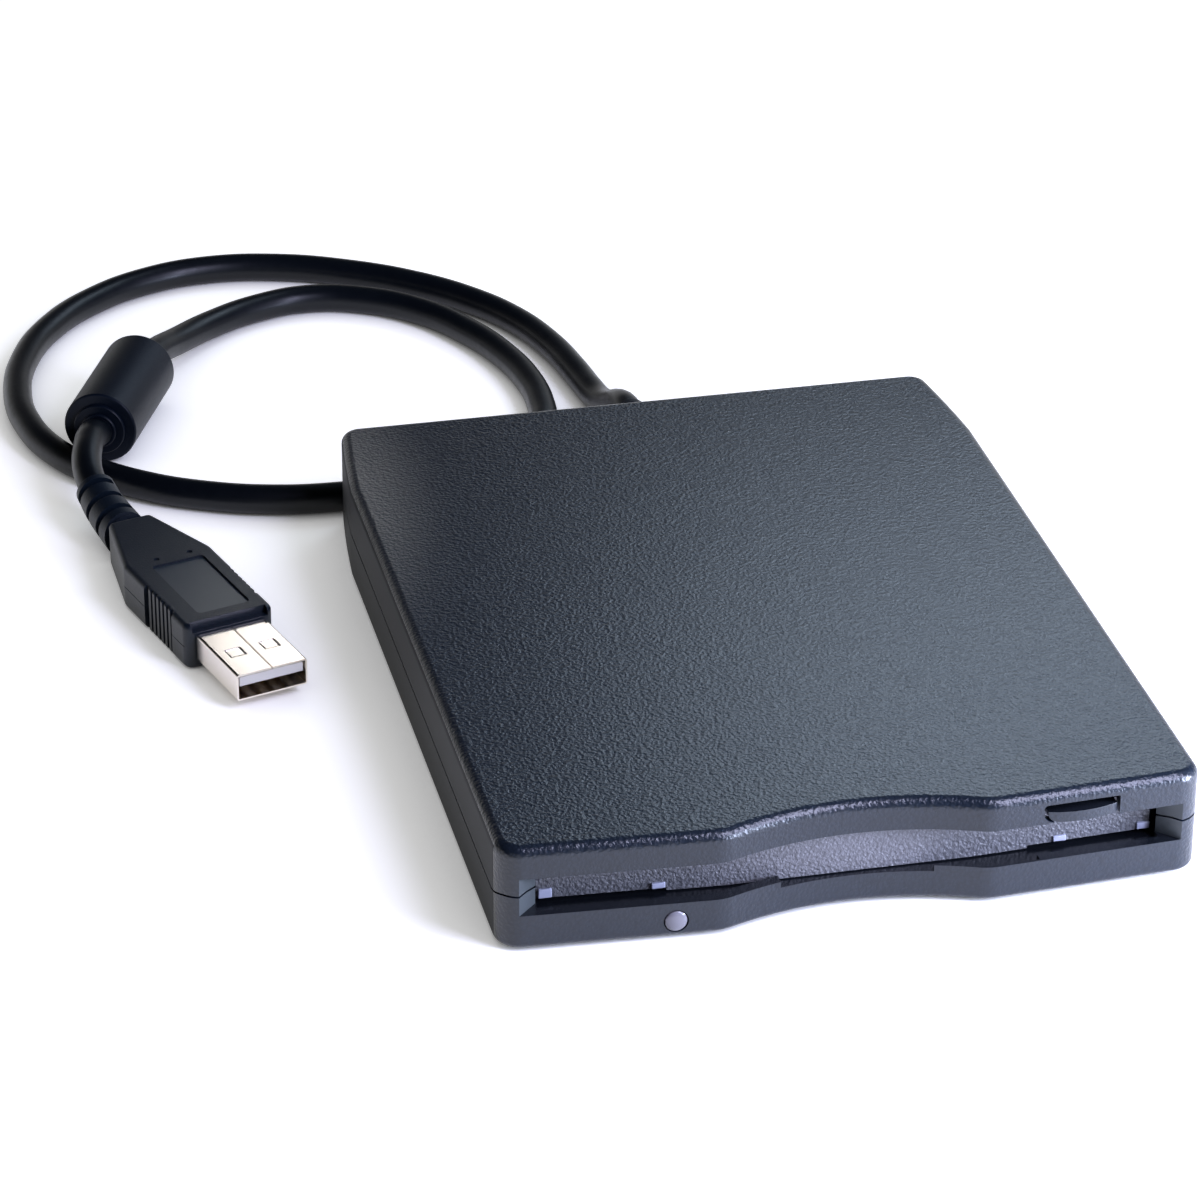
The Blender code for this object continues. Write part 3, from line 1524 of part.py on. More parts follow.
# Colours of the real materials, as linear values
charcoal = (0.045, 0.055, 0.07)
flap_grey = (0.15, 0.15, 0.2)
rubber_black = (0.012, 0.012, 0.013)
cord_black = (0.01, 0.011, 0.013)
steel = (0.56, 0.57, 0.58)
nickel = (0.8, 0.78, 0.74)
board_green = (0.02, 0.12, 0.05)
chip_black = (0.02, 0.02, 0.022)
white_plastic = (0.75, 0.75, 0.72)
copper = (0.7, 0.32, 0.15)
gold = (0.83, 0.6, 0.25)
lens_white = (0.55, 0.55, 0.62)


def build_case():
    finish(upper_shell_bosses(upper_shell()), "upper_shell", charcoal, 0.5)
    finish(lower_shell(), "lower_shell", charcoal, 0.5)
    finish(door_flap(), "door_flap", flap_grey, 0.55)
    finish(door_spring(), "door_spring", steel, 0.35, 1.0)
    finish(eject_button(), "eject_button", charcoal, 0.4)
    finish(lamp_lens(), "lamp_lens", lens_white, 0.25)
    finish(lamp_board(), "lamp_board", board_green, 0.5)
    for name, (x, y) in foot_places().items():
        foot = rod(foot_radius, (x, y, 0), (x, y, case_lift + foot_recess_depth - piece_gap),
                   round_sides)
        finish(foot, "foot_" + name, rubber_black, 0.8)
    for name, (x, y) in boss_places().items():
        finish(case_screw(x, y), "case_screw_" + name, steel, 0.35, 1.0)
    finish(cable_gland(), "cable_gland", rubber_black, 0.6)


def build_mechanism():
    finish(chassis_frame(), "chassis_frame", steel, 0.4, 1.0)
    finish(top_cover(), "top_cover", steel, 0.4, 1.0)
    finish(disk_holder(), "disk_holder", steel, 0.4, 1.0)
    finish(cam_plate(), "cam_plate", steel, 0.4, 1.0)
    finish(eject_spring(), "eject_spring", steel, 0.35, 1.0)
    finish(shutter_lever(), "shutter_lever", steel, 0.4, 1.0)
    finish(lever_pin(), "lever_pin", steel, 0.35, 1.0)
    for side, name in ((-1, "protect"), (1, "density")):
        finish(sensor_switch(side * switch_offset), name + "_switch", chip_black, 0.5)
        finish(sensor_plunger(side * switch_offset), name + "_plunger", white_plastic, 0.4)


def build_motor():
    finish(motor_board(), "motor_board", board_green, 0.5)
    finish(stator(), "stator", copper, 0.4, 1.0)
    finish(bearing(), "bearing", gold, 0.35, 1.0)
    finish(rotor(), "rotor", steel, 0.35, 1.0)
    finish(ring_magnet(), "ring_magnet", chip_black, 0.6)
    finish(spindle_shaft(), "spindle_shaft", steel, 0.25, 1.0)
    finish(drive_pin(), "drive_pin", steel, 0.3, 1.0)


def build_heads():
    finish(guide_rod(-rod_offset), "guide_rod_left", steel, 0.25, 1.0)
    finish(guide_rod(rod_offset), "guide_rod_right", steel, 0.25, 1.0)
    finish(head_carriage(), "head_carriage", white_plastic, 0.45)
    finish(lower_head(), "lower_head", chip_black, 0.3)
    finish(upper_head_arm(), "upper_head_arm", steel, 0.4, 1.0)
    finish(upper_head(), "upper_head", chip_black, 0.3)
    finish(stepper_motor(), "stepper_motor", steel, 0.4, 1.0)
    finish(lead_screw(), "lead_screw", steel, 0.3, 1.0)


def build_boards():
    finish(main_board(), "main_board", board_green, 0.5)
    finish(main_chip(), "main_chip", chip_black, 0.5)
    finish(board_connector(), "board_connector", white_plastic, 0.45)
    finish(usb_board(), "usb_board", board_green, 0.5)
    finish(usb_chip(), "usb_chip", chip_black, 0.5)
    finish(inner_lead(), "inner_lead", rubber_black, 0.6)


def build_cord():
    (first, first_length), (second, second_length) = cord_lines()
    finish(tube(first, cord_radius, 2), "cord_first", cord_black, 0.45)
    finish(ferrite_bead(), "ferrite_bead", cord_black, 0.6)
    finish(tube(second, cord_radius, 2), "cord_second", cord_black, 0.45)
    finish(plug_boot(), "plug_boot", cord_black, 0.6)
    finish(plug_body(), "plug_body", cord_black, 0.6)
    finish(plug_shell(), "plug_shell", nickel, 0.3, 1.0)
    finish(plug_tongue(), "plug_tongue", white_plastic, 0.45)
    for number in range(4):
        finish(plug_contact(number), "plug_contact_" + str(number + 1), gold, 0.3, 1.0)
    bead = (bead_near - bead_far).length
    boot = (boot_start - plug_length_to(body_front + body_length)).length
    total = first_length + bead + second_length + boot
    print("free cord, bead and boot, in metres:", round(total, 4))


build_case()
build_mechanism()
build_motor()
build_heads()
build_boards()
build_cord()
bpy.context.view_layer.update()
print("front edge depth:", round(front_edge, 6), "origin shift:", round(centre.location.y, 6))
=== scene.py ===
# %% [markdown]
# # External floppy disk drive
# A flat drive of charcoal plastic with a scooped front, and a USB cord that lies in a loop
# behind it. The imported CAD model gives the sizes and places. This lesson makes the cord, the
# plug and the outer pieces of the case again, with finer edges and a few small forms more, and
# gives each piece the finish that its real material has.

# %% Load the frame
import json
import math

import bmesh
import bpy
from mathutils import Matrix, Vector

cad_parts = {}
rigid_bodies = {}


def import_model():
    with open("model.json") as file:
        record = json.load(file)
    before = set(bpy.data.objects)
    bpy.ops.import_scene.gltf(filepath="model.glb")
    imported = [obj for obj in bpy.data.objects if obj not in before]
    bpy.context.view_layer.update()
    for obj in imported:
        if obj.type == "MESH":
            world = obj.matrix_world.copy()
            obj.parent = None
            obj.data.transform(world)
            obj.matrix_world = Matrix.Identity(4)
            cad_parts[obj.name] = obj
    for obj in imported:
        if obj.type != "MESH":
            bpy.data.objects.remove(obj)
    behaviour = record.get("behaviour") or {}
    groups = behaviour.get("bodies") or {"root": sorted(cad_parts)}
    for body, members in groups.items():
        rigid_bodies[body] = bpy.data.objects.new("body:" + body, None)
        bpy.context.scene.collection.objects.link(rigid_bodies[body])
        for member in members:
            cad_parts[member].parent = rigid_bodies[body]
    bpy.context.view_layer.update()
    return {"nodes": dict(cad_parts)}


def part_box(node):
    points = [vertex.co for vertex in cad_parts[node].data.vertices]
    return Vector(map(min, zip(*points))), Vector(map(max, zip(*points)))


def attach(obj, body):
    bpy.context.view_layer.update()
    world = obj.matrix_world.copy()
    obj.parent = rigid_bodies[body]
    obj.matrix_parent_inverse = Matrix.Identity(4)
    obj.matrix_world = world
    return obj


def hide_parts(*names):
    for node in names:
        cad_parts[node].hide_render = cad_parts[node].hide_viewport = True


for item in list(bpy.data.objects):
    bpy.data.objects.remove(item)
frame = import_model()

# %% [markdown]
# Depths on a drawing of this drive are measured from its two front corners, but the model's
# origin is under the middle of the case. One helper turns a place on the drawing, in
# millimetres, into a place in the scene, in metres. Writing the shift once is safer than
# adding it to every point by hand.

# %% Places on the drive
mm = 0.001
front_shift = 68.039423


def spot(x, y, z):
    return Vector((x, y - front_shift, z)) * mm


case_low, case_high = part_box("upper_shell")
print("front of the case:", round(case_low.y, 4), "rear:", round(case_high.y, 4))

# %% [markdown]
# The camera stands low and far off, with a long lens, as a product photographer would have it:
# the sides of the case hardly converge. Its place is written as a direction and a distance
# from a point on the table, because these are the numbers that a camera match gives.

# %% Camera
def new_object(name, data):
    """Puts a camera, a curve, a mesh or a lamp into the scene."""
    item = bpy.data.objects.new(name, data)
    bpy.context.scene.collection.objects.link(item)
    return item


turn, rise, roll = (math.radians(a) for a in (-12.982, 28.071, 0.269))
target = spot(-14.272, 100.656, 0)
camera_distance = 0.762906
back = Vector((math.sin(turn) * math.cos(rise), -math.cos(turn) * math.cos(rise), math.sin(rise)))
camera = new_object("camera", bpy.data.cameras.new("camera"))
bpy.context.scene.camera = camera
camera.location = target + back * camera_distance
look = (-back).to_track_quat("-Z", "Y") @ Matrix.Rotation(roll, 3, "Z").to_quaternion()
camera.rotation_euler = look.to_euler()
camera.data.lens = 142.21
camera.data.sensor_width = 36
camera.data.clip_start = 0.01
print("camera is", round(camera.location.z, 3), "m above the table")

# %% [markdown]
# The cord is one soft cable with a PVC jacket. It leaves the rear of the case, makes a wide
# loop on the table, passes through the bead and ends in the plug's boot. A curve with a round
# section is the natural tool: its control points are places that the jacket passes through,
# and the section stays round however it bends. Automatic handles keep every bend smooth. The
# section is 1 m deep and each point's radius shrinks it to the real size, because Blender adds
# that radius to the box that it reports.

# %% Cord
cord_route = [
    (2.0, 149.3, 8.4), (2.0, 152.8, 8.25), (1.8, 157.0, 7.0), (1.4, 161.5, 4.8),
    (0.9, 166.5, 3.1), (0.2, 173.0, 2.58), (-0.7, 181.0, 2.55), (-2.7, 192.5, 2.55),
    (-6.6, 203.8, 2.55), (-12.4, 213.4, 2.55), (-20.8, 222.4, 2.55), (-31.8, 230.1, 2.55),
    (-44.5, 235.6, 2.55), (-57.5, 237.2, 2.55), (-69.2, 234.4, 2.55), (-79.5, 227.9, 2.55),
    (-88.2, 218.2, 2.55), (-94.4, 205.6, 2.55), (-97.3, 191.5, 2.55), (-96.9, 179.5, 2.55),
    (-93.9, 168.6, 2.55), (-88.9, 160.2, 2.55), (-81.2, 152.4, 2.55), (-71.4, 146.3, 2.55),
    (-60.0, 142.3, 2.55), (-50.0, 141.1, 2.55), (-40.5, 141.5, 2.55), (-30.6, 143.0, 2.55),
    (-21.4, 147.0, 2.55), (-14.6, 153.2, 2.55), (-10.7, 160.6, 2.55), (-9.3, 169.0, 2.55),
    (-9.4, 178.4, 2.55), (-11.4, 189.2, 2.55), (-15.6, 200.2, 2.55), (-22.4, 210.9, 2.55),
    (-31.4, 217.9, 2.55), (-41.4, 220.6, 2.55), (-51.4, 218.2, 2.6), (-60.4, 212.4, 2.9),
    (-67.4, 204.8, 3.9), (-72.4, 197.3, 5.6), (-75.6, 191.2, 6.35), (-86.4, 166.5, 6.35),
    (-88.2, 161.4, 7.95), (-89.3, 157.0, 8.1), (-90.1, 152.6, 7.7), (-90.2, 148.6, 7.0),
    (-89.7, 144.9, 6.2),
]
cord_radius = 2.5


def soft_tube(name, points, radius):
    """A round bar through drawing points, as one smooth open spline."""
    curve = bpy.data.curves.new(name, "CURVE")
    curve.dimensions = "3D"
    curve.bevel_depth = 1.0
    curve.bevel_resolution = 8
    curve.resolution_u = 8
    curve.use_fill_caps = True
    spline = curve.splines.new("BEZIER")
    spline.bezier_points.add(len(points) - 1)
    for knot, point in zip(spline.bezier_points, points):
        knot.co = spot(*point)
        knot.radius = radius * mm
        knot.handle_left_type = knot.handle_right_type = "AUTO"
    return new_object(name, curve)


cord = soft_tube("cord", cord_route, cord_radius)
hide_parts("cord_first", "cord_second")
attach(cord, "case")
print("cord points:", len(cord_route))

# %% [markdown]
# The hard pieces are all made the same way: a flat outline is pushed out into a solid, then
# smaller solids are cut from it or joined to it, as the cavities of a mould would be milled.
# Each cut is settled at once, so the scene keeps finished meshes and no loose cutters.

# %% Solids, cuts and joins
drawing = Matrix.Translation((0, -front_shift * mm, 0)) @ Matrix.Scale(mm, 4)


def place_mesh(name, work, where=drawing):
    """Puts a bmesh made in millimetres into the scene as an object."""
    bmesh.ops.recalc_face_normals(work, faces=work.faces)
    if work.calc_volume(signed=True) < 0:
        bmesh.ops.reverse_faces(work, faces=work.faces)
    work.transform(where)
    mesh = bpy.data.meshes.new(name)
    work.to_mesh(mesh)
    work.free()
    return new_object(name, mesh)


def solid(name, outline, push, where=drawing):
    """A flat outline of 3-D points, pushed along a direction into a closed solid."""
    work = bmesh.new()
    near = [work.verts.new(p) for p in outline]
    far = [work.verts.new(Vector(p) + Vector(push)) for p in outline]
    work.faces.new(near)
    work.faces.new(far[::-1])
    for i in range(len(near)):
        j = (i + 1) % len(near)
        work.faces.new((near[j], near[i], far[i], far[j]))
    return place_mesh(name, work, where)


def upright(name, plan, low, high, where=drawing):
    """A plan view (x, y) made solid between two heights."""
    return solid(name, [(x, y, low) for x, y in plan], (0, 0, high - low), where)


def block(low, high, where=drawing):
    """A block between two opposite corners."""
    (a, b, c), (d, e, f) = low, high
    return upright("block", [(a, b), (d, b), (d, e), (a, e)], c, f, where)


def side_block(side, reach, depths, heights, where=drawing):
    """A block left (-1) or right (1) of the middle, between two distances from it."""
    left, right = sorted(side * x for x in reach)
    return block((left, depths[0], heights[0]), (right, depths[1], heights[1]), where)


def peg(radius, start, end, where=drawing, sides=48):
    """A round bar between two points."""
    start, end = Vector(start), Vector(end)
    facing = (end - start).to_track_quat("Z", "Y")
    ring = [start + facing @ Vector((radius * math.cos(t), radius * math.sin(t), 0))
            for t in (2 * math.pi * i / sides for i in range(sides))]
    return solid("peg", ring, end - start, where)


def post(radius, place, low, high):
    """An upright round bar over a place (x, y) on the plan."""
    return peg(radius, (*place, low), (*place, high))


def settle(item):
    """Keeps what an object's modifiers made as its own mesh."""
    graph = bpy.context.evaluated_depsgraph_get()
    item.data = bpy.data.meshes.new_from_object(item.evaluated_get(graph))
    item.modifiers.clear()
    return item


def combine(item, others, operation):
    for other in others:
        step = item.modifiers.new("combine", "BOOLEAN")
        step.operation, step.solver, step.object = operation, "EXACT", other
        settle(item)
        bpy.data.objects.remove(other)
    return item


def cut(item, *others):
    return combine(item, others, "DIFFERENCE")


def join(item, *others):
    return combine(item, others, "UNION")


print("solids are drawn in millimetres and placed with one matrix")

# %% [markdown]
# Moulded plastic never has a sharp edge: the cutter that made the mould leaves a small round.
# A bevel gives every edge over a given angle a round of a tenth of a millimetre, which is what
# catches the thin highlights. Weighted normals then keep the large faces looking flat.

# %% Soft edges
def soften(item, width, segments=2, angle=35):
    step = item.modifiers.new("edge round", "BEVEL")
    step.width, step.segments = width * mm, segments
    step.limit_method, step.angle_limit = "ANGLE", math.radians(angle)
    step.miter_outer = "MITER_ARC"
    settle(item)
    return shade(item)


def shade(item, angle=40):
    """Smooth shading that keeps real corners and flat faces."""
    item.data.shade_smooth()
    item.data.set_sharp_from_angle(angle=math.radians(angle))
    item.modifiers.new("flat faces stay flat", "WEIGHTED_NORMAL").keep_sharp = True
    return item


def round_rim(item, height, radius, segments):
    """Rounds the edges that lie at one height of an upright solid."""
    weights = item.data.attributes.new("bevel_weight_edge", "FLOAT", "EDGE")
    for edge in item.data.edges:
        ends = [item.data.vertices[v].co.z for v in edge.vertices]
        weights.data[edge.index].value = all(abs(z - height * mm) < 1e-6 for z in ends)
    step = item.modifiers.new("rim", "BEVEL")
    step.width, step.segments, step.limit_method = radius * mm, segments, "WEIGHT"
    step.use_clamp_overlap = False
    return settle(item)


print("smallest moulded round: 0.1 mm")

# %% [markdown]
# Seen from above, the case is nearly a rectangle. Its front has two straight wings that meet a
# round scoop for the fingers, and its sides draw in a little towards the rear. The outline is
# found as a draughtsperson would: straight lines and arcs first, then every corner is rounded
# with its own radius.

# %% Outline of the case
half_width, depth, top = 52.0, 138.0, 16.9
apex, scoop_radius, scoop_depth, scoop_end_radius = 3.0, 50.0, 5.07, 7.0
taper, taper_run, taper_start = 2.4, 22.0, 0.65
front_corner, rear_corner = 4.0, 3.2


def arc(centre, radius, start, end, steps):
    return [(centre[0] + radius * math.cos(start + (end - start) * i / steps),
             centre[1] + radius * math.sin(start + (end - start) * i / steps))
            for i in range(steps + 1)]


def rounded(corners, steps):
    """An outline whose corners (x, y, radius) are turned into arcs."""
    out = []
    for i, (x, y, radius) in enumerate(corners):
        here = Vector((x, y))
        if radius == 0:
            out.append((x, y))
            continue
        before = (Vector(corners[i - 1][:2]) - here).normalized()
        after = (Vector(corners[(i + 1) % len(corners)][:2]) - here).normalized()
        half = before.angle(after) / 2
        middle = here + (before + after).normalized() * radius / math.sin(half)
        start = here + before * radius / math.tan(half) - middle
        end = here + after * radius / math.tan(half) - middle
        first = math.atan2(start.y, start.x)
        out += arc(middle, radius, first, first - start.angle_signed(end), steps)
    return out


def rounded_rectangle(low, high, radius, steps):
    (a, b), (c, d) = low, high
    return rounded([(a, b, radius), (c, b, radius), (c, d, radius), (a, d, radius)], steps)


def wing(x):
    """Depth of the straight front wings at a distance from the middle."""
    return apex * (abs(x) / half_width - 1)


def case_outline(steps=10):
    """The plan of the case, anticlockwise from its front left corner."""
    slope = apex / half_width
    middle_y = scoop_depth - apex - scoop_radius
    total = apex + middle_y
    a, b, c = 1 + slope**2, -2 * slope * total, total**2 - scoop_radius**2
    edge = (-b + math.sqrt(b * b - 4 * a * c)) / (2 * a)
    scoop = []
    for i in range(2 * steps + 1):
        x = edge * (i / steps - 1)
        scoop.append((x, middle_y + math.sqrt(scoop_radius**2 - x * x),
                      scoop_end_radius if i in (0, 2 * steps) else 0))
    side = []
    for i in range(6):
        t = i / 6
        side.append((half_width - taper * t * (taper_start + (1 - taper_start) * t),
                     depth - taper_run * (1 - t), 0))
    side.append((half_width - taper, depth, rear_corner))
    corners = [(-half_width, 0, front_corner), *scoop, (half_width, 0, front_corner), *side]
    corners += [(-x, y, r) for x, y, r in reversed(side)]
    return rounded(corners, steps)


def inset(outline, distance):
    """The same outline drawn inside itself, at an even distance."""
    out = []
    for i, here in enumerate(outline):
        a, b, c = Vector(outline[i - 1]), Vector(here), Vector(outline[(i + 1) % len(outline)])
        first, second = (b - a).normalized(), (c - b).normalized()
        n, m = Vector((-first.y, first.x)), Vector((-second.y, second.x))
        out.append(tuple(b + (n + m) * distance / (1 + n.dot(m))))
    return out


outline = case_outline()
print("points on the outline:", len(outline))

# %% [markdown]
# The upper shell is an injection-moulded tray turned upside down. Its top edge has a round of
# 1.7 mm, the mouth of the slot is cut from its front, and a notch takes the eject button. The
# two shells don't quite meet: a gap of 0.3 mm runs round the case, higher at the front. A
# cutter that opens to the outside runs on past the case, so that none ends flush with it.

# %% Upper shell
wall, gap, edge_round = 1.8, 0.3, 0.12
seam_side, seam_front, rise_front, rise_rear = 8.4, 9.1, 1.2, 4.5
mouth_low, mouth_high = 6.0, 12.0
half_mouth, half_throat, throat_front, throat_rear = 49.0, 46.0, 2.9, 8.0
in_front, behind, beside, above = -9, 150, 60, 20
boss_places = [(-48.1, 9.6), (48.1, 9.6), (-40.0, 134.05), (40.0, 134.05)]
boss_radius, boss_low, boss_high, screw_radius = 1.8, 4.9, 15.5, 1.2
cord_exit_x, cord_exit_z, cord_exit_radius = 2.0, 8.4, 3.7
hinge_y, hinge_z, hinge_bore = 4.6, 13.2, 0.9
notch_left, notch_right, notch_low, notch_high = 27.5, 39.1, 12.1, 15.0


def mouth():
    corner = wing(half_mouth)
    return upright("mouth", [
        (-half_mouth, in_front), (half_mouth, in_front), (half_mouth, corner),
        (half_throat, throat_front), (half_throat, throat_rear), (-half_throat, throat_rear),
        (-half_throat, throat_front), (-half_mouth, corner),
    ], mouth_low, mouth_high)


def beyond_seam(lift, end):
    """All that lies on one side of the seam between the shells."""
    profile = [(in_front, end), (behind, end), (behind, seam_side + lift),
               (rise_rear, seam_side + lift), (rise_front, seam_front + lift),
               (in_front, seam_front + lift)]
    return solid("seam", [(-beside, y, z) for y, z in profile], (2 * beside, 0, 0))


def end_blocks(low, high):
    """Thickens the front behind both ends of the mouth."""
    return [side_block(side, (half_throat, 50.4), (0.6, 3.0), (low, high)) for side in (-1, 1)]


def cord_exit():
    return peg(cord_exit_radius, (cord_exit_x, 135, cord_exit_z), (cord_exit_x, 140, cord_exit_z))


def button_notch():
    """The notch's front view: four corners, and three of them round."""
    quarter = math.pi / 2
    view = [(notch_right, notch_low - 1.1)]
    view += arc((notch_right - 0.3, notch_high - 0.3), 0.3, 0, quarter, 4)
    view += arc((notch_left + 0.6, notch_high - 0.6), 0.6, quarter, 2 * quarter, 6)
    view += arc((notch_left + 1.6, notch_low + 1.6), 1.6, 2 * quarter, 3 * quarter, 8)
    view += [(notch_left + 1.6, notch_low - 1.1)]
    return solid("notch", [(x, -5, z) for x, z in view], (0, 8.4, 0))


upper = round_rim(upright("upper_shell_moulding", outline, 0, top), top, 1.7, 10)
cut(upper, upright("inside", inset(outline, wall), -1, top - 1.5))
join(upper, *end_blocks(8, top - 1.3))
for side in (-1, 1):
    join(upper, side_block(side, (half_throat, half_throat + 1.4), (2.8, 6.4), (11.8, boss_high)))
for place in boss_places:
    join(upper, post(boss_radius, place, boss_low, boss_high))
cut(upper, beyond_seam(gap / 2, -5))
for place in boss_places:
    join(upper, post(boss_radius, place, boss_low, 9.5))
    cut(upper, post(screw_radius, place, 4, 9.7))
cut(upper, mouth())
cut(upper, cord_exit())
cut(upper, peg(hinge_bore, (-51.0, hinge_y, hinge_z), (51.0, hinge_y, hinge_z), sides=24))
cut(upper, button_notch())
soften(upper, edge_round)
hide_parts("upper_shell")
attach(upper, "case")
print("upper shell faces:", len(upper.data.polygons))

# %% [markdown]
# The lower shell is the matching tray. Its front lip is the sill of the slot, with a shallow
# notch in the middle where a finger pulls the disk out, and a gutter behind it. Right of the
# notch the sill is hollow behind a thin lip. Underneath are the recesses for four rubber feet
# and the seats of four screws.

# %% Lower shell
feet_places = [(-43.5, 16.2), (43.5, 16.2), (-43.5, 125.5), (43.5, 125.5)]
underside, gutter_floor, pan_floor, pan_front = 0.6, 5.0, 2.0, 7
notch_from, notch_to, lip, lip_end = -10.6, 12.0, 0.4, 27.3
lamp_x, lamp_z, lamp_bore = -26.5, 3.05, 1.8
pillar_radius, pillar_high, head_radius, head_depth = 2.4, 4.6, 2.1, 2.05
seat_radius, seat_depth = 4.5, 1.1
lower = round_rim(upright("lower_shell_moulding", outline, underside, top), underside, 0.8, 5)
cut(lower, upright("inside", inset(outline, wall), gutter_floor, above))
pan = upright("pan", inset(outline, wall), pan_floor, gutter_floor + 0.2)
cut(lower, cut(pan, block((-beside, in_front, 0), (beside, pan_front, above))))
join(lower, *end_blocks(4.7, 10))
for place in boss_places:
    join(lower, post(pillar_radius, place, pan_floor - 0.2, pillar_high))
cut(lower, beyond_seam(-gap / 2, 25), mouth(), cord_exit())
cut(lower, block((notch_from, in_front, mouth_low - 0.95), (notch_to, throat_rear, mouth_low + 1)))
hollow = upright("hollow_sill", inset(outline, lip), mouth_low - 0.9, mouth_low + 1)
cut(hollow, block((-beside, in_front, 0), (notch_to - 0.5, behind, above)))
cut(hollow, block((lip_end, in_front, 0), (beside, behind, above)))
cut(hollow, block((-beside, 4, 0), (beside, behind, above)))
cut(lower, hollow)
cut(lower, peg(lamp_bore, (lamp_x, in_front, lamp_z), (lamp_x, throat_rear, lamp_z)))
for place in boss_places:
    cut(lower, post(screw_radius, place, -1, 6), post(head_radius, place, -1, head_depth))
for place in feet_places:
    cut(lower, post(seat_radius, place, -1, seat_depth))
soften(lower, edge_round)
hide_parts("lower_shell")
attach(lower, "case")
print("lower shell faces:", len(lower.data.polygons))

# %% [markdown]
# Behind the mouth hangs a flap that swings in when a disk pushes it. It is one moulded strip,
# bent at two places so that it follows the front of the case, and it hangs a little lower in
# the middle. Its coarse grain sets it off from the shells. Four smooth tabs at its lower edge
# meet the disk first.

# %% Door flap
flap_low, flap_high, flap_front, flap_thick = 5.7, 11.7, 3.0, 1.0
flap_half, flap_bend = half_throat - 0.4, 18
hem_half, hem_drop = 26.8, 0.45
ear_thick, ear_half, pin_radius, pin_reach = 1.0, 0.95, 0.6, 4.2


def flap_face(x):
    return flap_front + apex / half_width * max(0, abs(x) - flap_bend)


front_line = [(x, flap_face(x)) for x in (-flap_half, -flap_bend, flap_bend, flap_half)]
flap = upright("door_flap_moulding", front_line + [(x, y + flap_thick) for x, y in front_line[::-1]],
               flap_low - hem_drop, flap_high)
cut(flap, *[side_block(side, (hem_half, beside), (0, 9), (0, flap_low)) for side in (-1, 1)])
for side in (-1, 1):
    ear = flap_half - ear_thick
    join(flap, side_block(side, (ear, flap_half), (hinge_y - ear_half, hinge_y + ear_half),
                          (flap_high - 1, hinge_z + ear_half)))
    join(flap, peg(pin_radius, (side * ear, hinge_y, hinge_z),
                   (side * (flap_half + pin_reach), hinge_y, hinge_z), sides=24))
soften(flap, 0.1)
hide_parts("door_flap")
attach(flap, "flap")
tab_places = {"far_left": (-44.3, 1.5), "left": (-28.0, 0.9),
              "right": (31.7, 0.9), "far_right": (44.6, 1.15)}
tab_half, tab_base, tab_reach, tab_thick = 1, flap_low + 0.1, 0.35, 0.8
tabs = []
for name, (x, tall) in tab_places.items():
    face = flap_face(x) - tab_reach
    tab = block((x - tab_half, face, tab_base), (x + tab_half, face + tab_thick, tab_base + tall))
    tab.name = "flap_tab_" + name
    soften(tab, 0.15, 3)
    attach(tab, "flap")
    tabs.append(tab)
print("flap is", 2 * flap_half, "mm wide")

# %% [markdown]
# The eject button is a small bar with a bulging face. A thin flange behind it fills the gap at
# its left end, and a stem reaches the plate that it pushes, so the two move together. The lamp
# below the mouth is a milky round lens with a low dome, pressed into a hole in the lower shell.

# %% Eject button and lamp lens
left, right, cap_rear = 28.2, 38.75, 2.4
cap_low, cap_high, bulge, corner_radius = 12.1, 13.7, 0.9, 1.2
stem_low, stem_high = 13.6, 14.2
face = []
for i in range(21):
    t = i / 20
    chord = wing(left) + (wing(right) - wing(left)) * t + 0.35
    face.append((left + (right - left) * t, chord - bulge * (1 - (2 * t - 1) ** 2)))
button = upright("eject_button_cap", [*face, (right, cap_rear), (left, cap_rear)], cap_low, cap_high)
corner_x, corner_z, below = left + corner_radius, 13.4, 11
corner = [(left - 1, below), (left - 1, corner_z)]
corner += arc((corner_x, corner_z), corner_radius, math.pi, 1.5 * math.pi, 8) + [(corner_x, below)]
cut(button, solid("corner", [(x, -5, z) for x, z in corner], (0, 10, 0)))
soften(button, 0.45, 4)
flange = block((27.85, 1.9, cap_low), (right, cap_rear, cap_high))
stem = block((31.0, 2.1, stem_low), (35.6, 12.55, stem_high))
stem_head = block((29.0, 12.3, stem_low), (37.6, 14.6, stem_high))
join(button, flange, stem, stem_head)
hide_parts("eject_button")
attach(button, "ejector")


def turned(name, profile, where, sides=64):
    """A shape turned about Z from (radius, height) pairs."""
    work = bmesh.new()
    rings = []
    for radius, height in profile:
        if radius == 0:
            rings.append([work.verts.new((0, 0, height))])
        else:
            rings.append([work.verts.new((radius * math.cos(t), radius * math.sin(t), height))
                          for t in (2 * math.pi * i / sides for i in range(sides))])
    for low, high in zip(rings, rings[1:]):
        for i in range(sides):
            j = (i + 1) % sides
            ends = [low[i % len(low)], low[j % len(low)], high[j % len(high)], high[i % len(high)]]
            work.faces.new(list(dict.fromkeys(ends)))
    return place_mesh(name, work, where)


def facing(place, direction):
    """The matrix of a turned piece that stands at a place and points along a direction."""
    turn = Vector(direction).normalized().to_track_quat("Z", "Y").to_matrix().to_4x4()
    return drawing @ Matrix.Translation(place) @ turn


